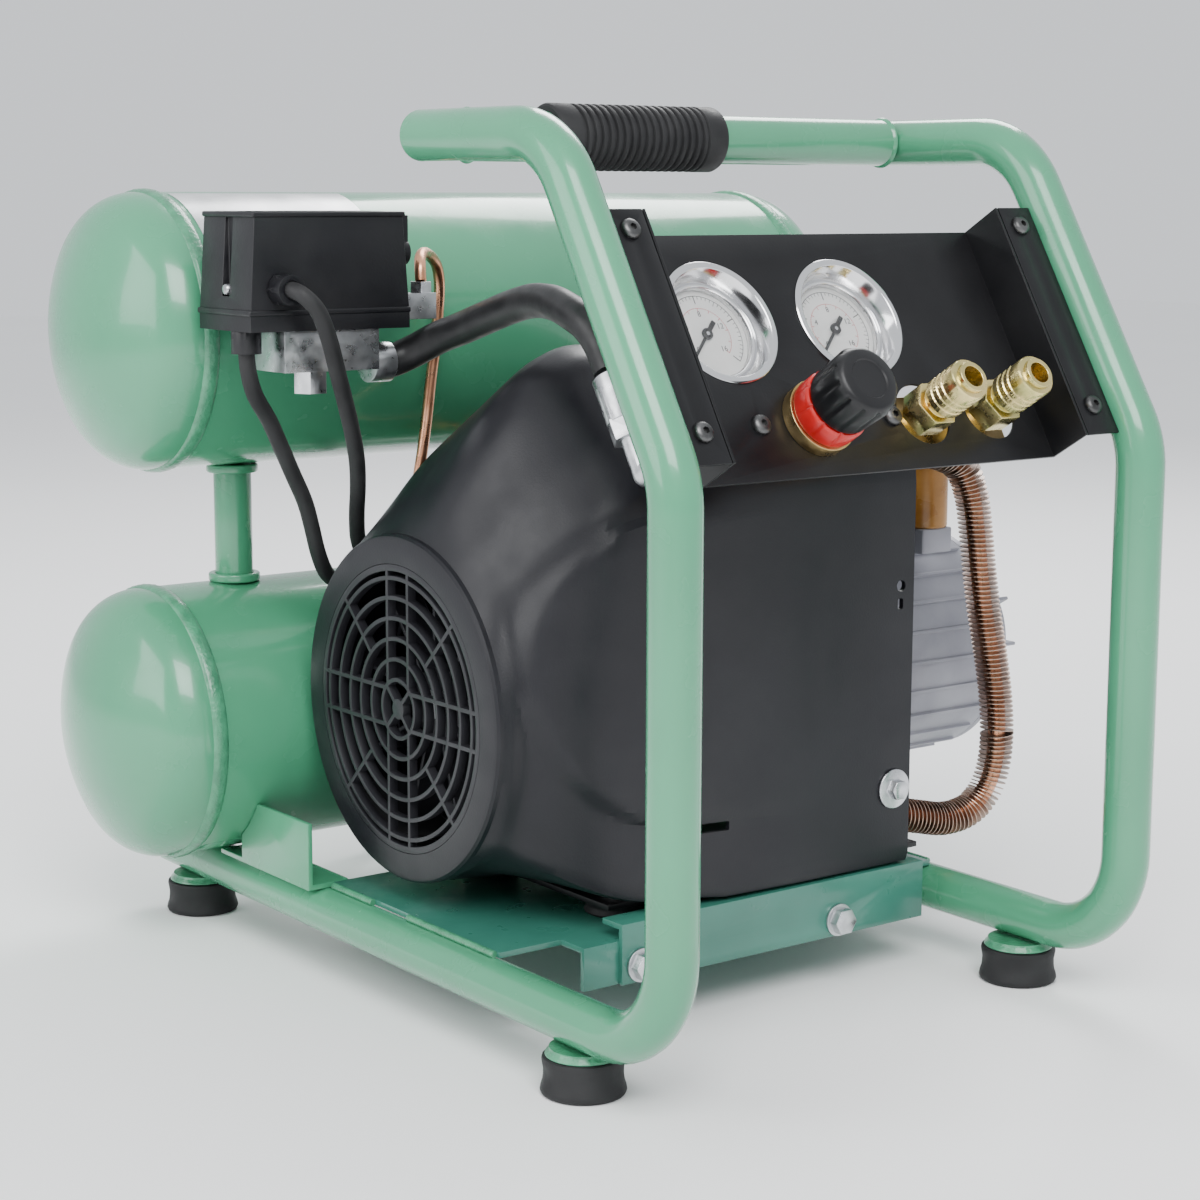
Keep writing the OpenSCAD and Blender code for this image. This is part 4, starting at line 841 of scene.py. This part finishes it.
class COMPRESSOR_OT_gauges(bpy.types.Operator):
    """Adds the gauge cases, dials with scales, pointers and lenses"""
    bl_idname = "compressor.gauges"
    bl_label = "Gauges"

    def execute(self, context):
        cases, dials, marks, reds, lenses = [], [], [], [], []
        for x, node, body in gauge_places():
            face = slope_matrix(x, GAUGE_S, GAUGE_T)
            case = lathe("case", [(0, -28), (24.5, -28), (25.8, -27.2), (26.4, -25.5), (26.6, -7), (27.3, -6.4),
                                  (27.5, -5.6), (27.5, -2.4), (27.1, -1.0), (26.2, -0.2), (25.2, -0.05),
                                  (24.4, -0.5), (24.0, -1.3), (24.0, -5.9), (0, -5.9)], 96)
            place(case, face)
            trim = lathe("trim", [(25.6, -3), (27.5, -3), (30.5, 8.06), (33.0, 8.06), (33.0, 8.7), (32.3, 9.26),
                                  (29.9, 9.26), (29.2, 8.7), (25.6, -3)], 96)
            cases.append(place(trim, face))
            clear()
            bpy.ops.mesh.primitive_cylinder_add(vertices=6, radius=0.0075, depth=0.012)
            stem = context.object
            round_edges(stem, 0.5)
            place(stem, slope_matrix(x, 57.0, -51) @ Matrix.Rotation(math.pi / 2, 4, "X"))
            cases += [case, stem]
            dial = lathe("dial", closed([(23.9, -5.9), (23.9, -4.8)]), 96)
            place(dial, face)
            dials.append(dial)
            on = face @ Matrix.Translation((0, 0, -0.0047))
            for k in range(41):
                angle = 225 - 270 * k / 40
                major = k % 10 == 0
                inner = 16.8 if major else 18.4 if k % 5 == 0 else 19.4
                marks.append(bar_mark(inner, 21.0, 0.5 if major else 0.28, angle, on))
            for k in range(96):
                angle = 225 - 270 * (k + 0.5) / 96
                marks.append(bar_mark(21.0, 21.3, 1.06, angle, on))
            for k in range(48):
                angle = 225 - 270 * (k + 0.5) / 48
                reds.append(bar_mark(14.3, 14.6, 1.1, angle, on))
            for k in range(11):
                reds.append(bar_mark(12.8, 14.4, 0.3, 225 - 270 * k / 10, on))
            for k in range(5):
                angle = math.radians(225 - 270 * k / 4)
                clear()
                bpy.ops.object.text_add()
                text = context.object
                text.data.body = str(4 * k)
                text.data.size = 0.0042
                text.data.align_x = "CENTER"
                text.data.align_y = "CENTER"
                bpy.ops.object.convert(target="MESH")
                text = context.object
                spot = Matrix.Translation((0.0112 * math.cos(angle), 0.0112 * math.sin(angle), 0.00003))
                marks.append(place(text, on @ spot))
            pin = lathe("pin", closed([(1.0, -4.9), (1.0, -3.0)]), 24)
            cases.append(place(pin, face))
            lens = lathe("lens", closed([(23.9, -2.4), (23.9, -1.4), (20.0, -1.25)]), 96)
            place(lens, face)
            lenses.append(lens)
            needle = copy_node(node, node + "_finished", 0.0)
            finish(needle, use("dial_ink"), [node], body=body)
        ob = smooth(join(cases, "gauge_cases_finished"), 40)
        finish(ob, use("bezel_chrome"), ["gauge_cases"])
        ob = smooth(join(dials, "gauge_dials_finished"), 40)
        finish(ob, use("dial_enamel"), ["gauge_dials"])
        finish(join(marks, "dial_scales"), use("dial_ink"))
        finish(join(reds, "dial_inner_scales"), use("dial_red"))
        ob = smooth(join(lenses, "gauge_windows"), 40)
        finish(ob, use("gauge_glass"), ["gauge_lenses"])
        return {"FINISHED"}


# ---- regulator and couplers ----

class COMPRESSOR_OT_regulator(bpy.types.Operator):
    """Adds the manifold, the notched lock ring and the ribbed knob"""
    bl_idname = "compressor.regulator"
    bl_label = "Regulator"

    def execute(self, context):
        dress("panel_manifold", "manifold_bar", "brass", 0.8)
        ring = lathe("ring", [(6.1, 0), (17.2, 0), (18.0, 0.7), (18.3, 1.6), (18.3, 10.4), (18.0, 11.3),
                              (17.2, 12.0), (6.1, 12.0), (6.1, 0)], 144)
        reshape(ring, lambda r, a, z: 1.0 - 0.07 * max(0.0, math.cos(a * 10)) ** 8
                if r > 0.0165 and z > 0.005 else 1.0)
        place(ring, slope_matrix(REGULATOR_X, CONTROL_S, -17.6))
        ring = smooth(join([ring], "lock_ring_finished"), 35)
        finish(ring, use("red_plastic"), ["regulator_lock_ring"], body="lock_ring")
        shape = closed([(15.6, 0), (17.0, 0.6), (17.5, 1.8), (17.5, 20.5), (17.2, 22.6), (16.2, 24.2),
                        (14.6, 24.9), (10.5, 25.0), (9.8, 24.3), (3.0, 24.1)])
        knob = lathe("knob", shape, 144)
        reshape(knob, lambda r, a, z: 1.05 - 0.1 * max(0.0, math.cos(a * 12)) ** 2
                if r > 0.0165 and 0.0022 < z < 0.0215 else 1.0)
        place(knob, slope_matrix(REGULATOR_X, CONTROL_S, -5.1))
        knob = smooth(join([knob], "pressure_knob"), 35)
        finish(knob, use("knob_plastic"), ["regulator_knob"], body="knob")
        return {"FINISHED"}


class COMPRESSOR_OT_couplers(bpy.types.Operator):
    """Adds the two quick couplers with grooved, knurled sleeves"""
    bl_idname = "compressor.couplers"
    bl_label = "Couplers"

    def execute(self, context):
        dress("coupler_bodies", "coupler_cores", "yellow_zinc", 0.6)
        for x, node, body in ((36, "left_coupler_sleeve", "left_sleeve"),
                              (82, "right_coupler_sleeve", "right_sleeve")):
            line = [(8.1, 0.0), (10.2, 0.0), (11.0, 0.8)]
            for k in range(3):
                low = 4.0 + 4.0 * k
                line += [(11.0, low), (10.3, low + 0.5), (10.3, low + 1.6), (11.0, low + 2.1)]
            line += [(11.0, 20.6), (10.4, 21.6), (8.1, 22.0), (8.1, 0.0)]
            sleeve = lathe("sleeve", line, 120)
            reshape(sleeve, lambda r, a, z: 1.0 - 0.02 * (0.5 + 0.5 * math.cos(a * 30))
                    if r > 0.0108 and z < 0.016 else 1.0)
            place(sleeve, slope_matrix(x, CONTROL_S, -9.0))
            sleeve = smooth(join([sleeve], node + "_finished"), 35)
            finish(sleeve, use("yellow_zinc"), [node], body=body)
        return {"FINISHED"}


# ---- pressure switch ----

class COMPRESSOR_OT_switch(bpy.types.Operator):
    """Adds the pressure switch, its lever, manifold, glands and relief ring"""
    bl_idname = "compressor.switch"
    bl_label = "Pressure switch"

    def execute(self, context):
        dress("switch_base", "switch_foot", "switch_plastic", 1.2)
        low, high = at(-205, 288, 367.1), at(-108, 344, 420)
        clear()
        bpy.ops.mesh.primitive_cube_add(size=1.0, location=(low + high) / 2)
        hood = context.object
        hood.scale = high - low
        bake(hood)
        middle, top_z = (low + high) / 2, high.z - 0.001
        for v in hood.data.vertices:
            if v.co.z > top_z:
                v.co.x += 0.004 if v.co.x < middle.x else -0.003
                v.co.y += 0.0015 if v.co.y < middle.y else 0.0
        cut_away(hood, block("groove", (-215, 312, 376), (-199.5, 320, 430), 0.5, 2), "Groove")
        round_edges(hood, 2.2, 4)
        bits = [hood]
        bits.append(block("lid", (-202.5, 288.6, 417.2), (-109.6, 344.4, 420.0), 0.9, 3))
        bits.append(block("rim", (-206.2, 287.3, 366.2), (-107.2, 344.8, 369.4), 1.0, 3))
        ob = join(bits, "switch_hood")
        smooth(ob, 35)
        finish(ob, use("switch_plastic"), ["switch_cover"])
        screw = lathe("screw", closed([(2.9, -3.0), (2.9, 0.8), (2.4, 1.5), (1.2, 1.8)]), 32)
        place(screw, Matrix.Translation(at(-203.4, 316, 379.5)) @ Matrix.Rotation(-math.pi / 2, 4, "Y"))
        smooth(screw, 40)
        finish(join([screw], "switch_screw"), use("zinc_steel"))
        dress("switch_lever", "switch_tab", "switch_plastic", 1.4, body="lever")
        dress("switch_manifold", "switch_block", "zinc_steel", 0.8)
        dress("safety_valve_ring", "relief_cap", "zinc_steel", 0.6, body="relief_ring")
        dress("cord_glands", "gland_nuts", "switch_plastic", 0.6)
        return {"FINISHED"}


# ---- hoses and tubes ----

HOSE_ROUTE = [
    (-122, 305, 339), (-110, 305, 339), (-99, 300, 344), (-91, 286, 352), (-87, 268, 358),
    (-86, 245, 365), (-87, 222, 371), (-89, 200, 375), (-92, 178, 375), (-95, 158, 371),
    (-96, 142, 365), (-95, 132, 355), (-95, 124.5, 343.5),
]
UNLOADER_ROUTE = [
    (-93, 300, 382.5), (-92, 302, 390), (-88, 308, 395), (-80, 317, 397), (-70, 326, 395),
    (-61, 333, 389), (-56, 338, 378), (-55, 341, 364), (-57, 341, 345), (-61, 340, 325),
    (-65, 338, 305), (-69, 337, 285), (-70, 341, 266), (-64, 352, 250), (-50, 366, 240),
    (-30, 368, 236), (-8, 366, 233), (5, 371, 230.5), (9, 385.6, 230),
]
LEAD_ROUTE = [
    (-187, 286, 380), (-187, 276, 380), (-184, 269, 377), (-177, 267, 369), (-169, 270, 354),
    (-160, 277, 336), (-151, 284, 318), (-143, 291, 302), (-135, 300, 286), (-128, 311, 270),
    (-121, 324, 254), (-112, 338, 238), (-103, 346, 225), (-96, 346, 216), (-95, 338, 213),
    (-95, 331, 213),
]
COOLER_ROUTE = [
    (46, 242, 251), (54, 240, 252), (66, 226, 260), (80, 205, 273), (100, 184, 284),
    (125, 168, 289), (152, 156, 287), (172, 151, 279), (182, 150, 262), (187, 150, 240),
    (191, 150, 215), (196, 150, 190), (202, 150, 165), (207, 150, 140), (209, 150, 118),
    (207, 150, 99), (201, 151, 84), (189, 152, 74), (171, 154, 71), (150, 156, 75),
    (126, 160, 80), (108, 168, 81),
]
DISCHARGE_ROUTE = [
    (110, 167, 81), (99, 176, 80), (93, 190, 78), (91, 210, 76), (90, 235, 75), (90, 260, 74),
    (88, 285, 74), (84, 306, 75), (77, 327, 79), (68, 341, 90), (61, 345, 110), (55, 346, 135),
    (49, 346, 160), (43, 347, 185), (37, 351, 208), (31, 360, 230), (26, 373, 245),
    (22, 386, 251), (20, 393.5, 248), (20, 395, 239.6),
]


class COMPRESSOR_OT_hoses(bpy.types.Operator):
    """Adds the air hose with its ferrules, the motor lead and the copper tubes"""
    bl_idname = "compressor.hoses"
    bl_label = "Hoses"

    def execute(self, context):
        hose = sweep("air_hose_run", spline_points(HOSE_ROUTE, 6), 9.0, 32)
        finish(hose, use("hose_rubber"), ["air_hose"])
        ends = copy_node("hose_fittings", "hose_ends", 0.6, 3)
        finish(ends, use("zinc_steel"), ["hose_fittings"])
        lead = sweep("motor_lead_run", spline_points(LEAD_ROUTE, 6), 4.5, 24)
        finish(lead, use("rubber"), ["motor_lead"])
        tube = sweep("unloader_run", spline_points(UNLOADER_ROUTE, 6), 3.2, 20)
        finish(tube, use("copper"), ["unloader_tube"])
        return {"FINISHED"}


def even_points(points, gap):
    """Places along a route at an even gap, each with its direction."""
    out, left = [], 0.0
    for a, b in zip(points, points[1:]):
        step = (b - a).length
        aim = (b - a).normalized()
        along = left
        while along < step:
            out.append((a + aim * along, aim))
            along += gap
        left = along - step
    return out


class COMPRESSOR_OT_aftercooler(bpy.types.Operator):
    """Adds the copper aftercooler with its ring fins, and the bare tube"""
    bl_idname = "compressor.aftercooler"
    bl_label = "Aftercooler"

    def execute(self, context):
        path = spline_points(COOLER_ROUTE, 5)
        core = sweep("cooler_core", path, 5.2, 20)
        bare = sweep("cooler_bare", spline_points(DISCHARGE_ROUTE, 5), 4.7, 20)
        clear()
        bpy.ops.mesh.primitive_circle_add(vertices=32, radius=0.0099, fill_type="NGON")
        fin = context.object
        edit_all(fin)
        bpy.ops.mesh.extrude_region_move(TRANSFORM_OT_translate={"value": (0, 0, 0.0005)})
        bpy.ops.mesh.select_all(action="SELECT")
        bpy.ops.mesh.normals_make_consistent(inside=False)
        bpy.ops.object.mode_set(mode="OBJECT")
        fins = []
        pitch = context.scene.compressor_sizes.fin_pitch / 1000.0
        for k, (spot, aim) in enumerate(even_points(path[3:-2], pitch)):
            ob = fin.copy()
            ob.data = fin.data.copy()
            context.collection.objects.link(ob)
            turn = aim.to_track_quat("Z", "Y").to_matrix().to_4x4()
            lean = Matrix.Rotation(math.radians(7), 4, "X")
            ob.matrix_world = Matrix.Translation(spot) @ turn @ lean @ Matrix.Rotation(k * 0.17, 4, "Z")
            fins.append(ob)
        bpy.data.objects.remove(fin, do_unlink=True)
        context.view_layer.update()
        for ob in fins:
            ob.data.transform(ob.matrix_world)
            ob.matrix_world = Matrix.Identity(4)
        fins = join(fins, "cooler_fins")
        finish(fins, use("fin_copper"))
        tube = join([core, bare], "cooler_tube")
        smooth(tube, 50)
        finish(tube, use("copper"), ["aftercooler_tube"])
        return {"FINISHED"}


# ---- fan shroud ----

SHROUD_OUTLINE = [(120, 61.3), (310, 61.3), (336, 100), (336, 240), (290, 302), (216, 352),
                  (190, 350), (146, 316), (120, 285)]


def rounded_outline(points, radius, steps=6):
    """A closed outline with its corners rounded by arcs, as (y, z)."""
    out = []
    count = len(points)
    for i in range(count):
        p, c, n = (Vector(points[(i + k) % count]) for k in (-1, 0, 1))
        a, b = (p - c).normalized(), (n - c).normalized()
        reach = min(radius, (p - c).length * 0.45, (n - c).length * 0.45)
        for k in range(steps + 1):
            u = k / steps
            out.append((c + a * reach) * (1 - u) ** 2 + c * 2 * u * (1 - u) + (c + b * reach) * u ** 2)
    return out


def outline_at(points, angle):
    """Where a ray from the motor axis meets an outline."""
    d = Vector((math.cos(angle), math.sin(angle)))
    o = Vector(AXIS)
    best = None
    for i in range(len(points)):
        a, b = Vector(points[i]) - o, Vector(points[(i + 1) % len(points)]) - o
        e = b - a
        det = d.x * (-e.y) + e.x * d.y
        if abs(det) < 1e-9:
            continue
        dist = (a.x * (-e.y) + e.x * a.y) / det
        part = (d.x * a.y - d.y * a.x) / det
        if dist > 0 and -1e-6 <= part <= 1 + 1e-6:
            best = dist if best is None else max(best, dist)
    return best or 94.0


def ramp(low, high, value):
    u = min(1.0, max(0.0, (value - low) / (high - low)))
    return u * u * (3.0 - 2.0 * u)


def arch_step(x, angle, reach, shoulder):
    """How far the shroud steps in outside the arch on its front face."""
    z = AXIS[1] + reach * math.sin(angle)
    away = math.hypot((x + 46.0) / 82.0, (z - 190.0) / 84.0)
    front = ramp(0.1, 0.5, -math.cos(angle))
    return 6.0 * front * ramp(0.95, 1.06, away) * ramp(10.0, 50.0, -x) * ramp(0.0, 0.3, shoulder)


class COMPRESSOR_OT_shroud(bpy.types.Operator):
    """Adds the moulded fan shroud, its grille and its washer screw"""
    bl_idname = "compressor.shroud"
    bl_label = "Fan shroud"

    def execute(self, context):
        count = 192
        box = rounded_outline(SHROUD_OUTLINE, 7.0)
        angles = [math.tau * (k + 0.5) / count for k in range(count)]
        wide = [outline_at(box, a) for a in angles]
        stations = [(-142.0, 0.0, 78.0), (-142.0, 0.0, 90.5), (-141.4, 0.0, 92.5), (-140.0, 0.0, 93.7),
                    (-137.5, 0.0, 94.0)]
        for k in range(1, 32):
            u = k / 32.0
            stations.append((-137.5 + 87.5 * u, 1.0 - (1.0 - u) ** 2.2, 94.0))
        stations += [(-50.0, 1.0, 94.0), (-46.0, 1.0, 94.0)]
        stations += [(x, 1.0, 94.0) for x in (-20.0, 30.0, 80.0, 110.0)]
        clear()
        bpy.ops.mesh.primitive_circle_add(vertices=count, radius=0.078)
        ob = context.object
        pick(ob)
        for k, (x, u, r) in enumerate(stations):
            if k:
                bpy.ops.object.mode_set(mode="EDIT")
                bpy.ops.mesh.extrude_region_move(TRANSFORM_OT_translate={"value": (0, 0, 0.001)})
                bpy.ops.object.mode_set(mode="OBJECT")
            edge = [v for v in ob.data.vertices if v.select]
            edge.sort(key=lambda v: v.index)
            for v, a, w in zip(edge, angles, wide):
                reach = r * (1 - u) + w * u - arch_step(x, a, r * (1 - u) + w * u, u)
                v.co = at(x, AXIS[0] + reach * math.cos(a), AXIS[1] + reach * math.sin(a))
        outward(ob)
        hollow(ob, 0.003)
        cutters = []
        clear()
        cutters.append(block("cut", (-82, 146, 50), (125, 307, 72), 0.01, 1))
        cutters.append(block("cut", (66, 300, 50), (97, 360, 94.3), 0.01, 1))
        cutters.append(block("cut", (-38, 110, 100), (-19, 130, 105), 0.8, 2))
        for x, y, z, r in ((-95, 330, 213, 4.8), (100.5, 120, 219, 3.2)):
            clear()
            bpy.ops.mesh.primitive_cylinder_add(vertices=32, radius=r / 1000, depth=0.04, location=at(x, y, z),
                                                rotation=(math.pi / 2, 0, 0))
            cutters.append(bake(context.object))
        cutters.append(block("cut", (98.2, 110, 206), (102.2, 130, 212), 1.2, 3))
        for c in cutters:
            cut_away(ob, c, "Cut")
        shell = smooth(join([ob], "shroud_shell"), 28)
        finish(shell, use("shroud_plastic"), ["fan_shroud"])
        dress("fan_grille", "shroud_grille", "grille_plastic", 0.6, 2)
        dress("shroud_screws", "shroud_screw", "zinc_steel", 0.4, 2)
        return {"FINISHED"}


# ---- motor and pump ----

class COMPRESSOR_OT_motor(bpy.types.Operator):
    """Adds the ribbed motor, its end bell and the capacitor"""
    bl_idname = "compressor.motor"
    bl_label = "Motor"

    def execute(self, context):
        dress("motor_housing", "motor_barrel", "motor_grey", 0.6, 2)
        bell = lathe("bell", [(28.1, -8), (28.1, 6.0), (16.1, 6.2), (16.1, 13.0), (0, 13.0), (0, 34.5),
                              (20, 34.2), (36, 32.6), (43, 30.4), (46.6, 27.2), (47.8, 23.5), (48.0, 18),
                              (48.6, 9), (51, 6.8), (63.5, 6.2), (66.5, 5.6), (67.5, 4.2), (67.5, 0.1),
                              (60.9, 0.1), (60.9, -8), (28.1, -8)], 96)
        ribs = []
        for k in range(12):
            clear()
            bpy.ops.mesh.primitive_cube_add(size=1.0)
            rib = context.object
            rib.scale = (0.0022, 0.016, 0.020)
            rib.location = (0, 0.047, 0.017)
            bake(rib)
            round_edges(rib, 0.7)
            place(rib, Matrix.Rotation(k * math.tau / 12, 4, "Z"))
            ribs.append(rib)
        ob = join([bell] + ribs, "motor_bell")
        place(ob, across(243, *AXIS))
        smooth(ob, 35)
        finish(ob, use("motor_grey"), ["motor_end_bell"])
        can = lathe("can", closed([(13.2, 0), (14.0, 0.8), (14.0, 49.5), (13.4, 51.2), (12.2, 52.0),
                                   (11.6, 51.4)]), 64)
        place(can, Matrix.Translation(at(194, 200, 236)))
        smooth(can, 40)
        foot = block("foot", (182, 188, 221), (206, 212, 235.9), 1.2, 3)
        finish(join([can], "capacitor_can"), use("amber_plastic"), ["start_capacitor"])
        finish(join([foot], "capacitor_foot"), use("motor_grey"))
        return {"FINISHED"}


class COMPRESSOR_OT_pump(bpy.types.Operator):
    """Adds the pump's castings, shaft, rod, piston, bearings and fan"""
    bl_idname = "compressor.pump"
    bl_label = "Pump"

    def execute(self, context):
        for node, material, body, width, slot in (
                ("crankcase", "cast_aluminium", BODY, 1.0, "aluminium"),
                ("cylinder_head", "cast_aluminium", BODY, 0.8, "aluminium"),
                ("stator_core", "iron", BODY, 0.6, "iron"),
                ("shaft_bearings", "zinc_steel", BODY, 0.5, "bright_steel"),
                ("drive_shaft", "zinc_steel", "drive_line", 0.5, "bright_steel"),
                ("cooling_fan", "grille_plastic", "drive_line", 0.5, "black_plastic"),
                ("connecting_rod", "cast_aluminium", "rod_and_piston", 0.8, "aluminium"),
                ("piston", "iron", "rod_and_piston", 0.8, "black_plastic")):
            dress(node, node + "_finished", material, width, 2, body)
        return {"FINISHED"}


# ---- panel and main ----

STEPS = ("stage", "supply_cord", "side_frames", "handle", "feet", "tanks", "base", "panel", "gauges",
         "regulator", "couplers", "switch", "hoses", "aftercooler", "shroud", "motor", "pump")


class COMPRESSOR_PT_panel(bpy.types.Panel):
    """Lists the sizes, colours and steps"""
    bl_idname = "COMPRESSOR_PT_panel"
    bl_label = "Compressor"
    bl_space_type = "VIEW_3D"
    bl_region_type = "UI"
    bl_category = "Compressor"

    def draw(self, context):
        for group in (context.scene.compressor_paint, context.scene.compressor_sizes):
            for key in group.__annotations__:
                self.layout.prop(group, key)
        for step in STEPS:
            self.layout.operator("compressor." + step)


CLASSES = (CompressorPaint, CompressorSizes, COMPRESSOR_OT_stage, COMPRESSOR_OT_supply_cord,
           COMPRESSOR_OT_side_frames, COMPRESSOR_OT_handle, COMPRESSOR_OT_feet, COMPRESSOR_OT_tanks,
           COMPRESSOR_OT_base, COMPRESSOR_OT_panel, COMPRESSOR_OT_gauges, COMPRESSOR_OT_regulator,
           COMPRESSOR_OT_couplers, COMPRESSOR_OT_switch, COMPRESSOR_OT_hoses, COMPRESSOR_OT_aftercooler,
           COMPRESSOR_OT_shroud, COMPRESSOR_OT_motor, COMPRESSOR_OT_pump, COMPRESSOR_PT_panel)


def register():
    for cls in CLASSES:
        bpy.utils.register_class(cls)
    bpy.types.Scene.compressor_paint = PointerProperty(type=CompressorPaint)
    bpy.types.Scene.compressor_sizes = PointerProperty(type=CompressorSizes)


def unregister():
    del bpy.types.Scene.compressor_sizes
    del bpy.types.Scene.compressor_paint
    for cls in reversed(CLASSES):
        bpy.utils.unregister_class(cls)


def main():
    register()
    make_finishes()
    for step in STEPS:
        getattr(bpy.ops.compressor, step)()
    clear()


if __name__ == "__main__":
    main()
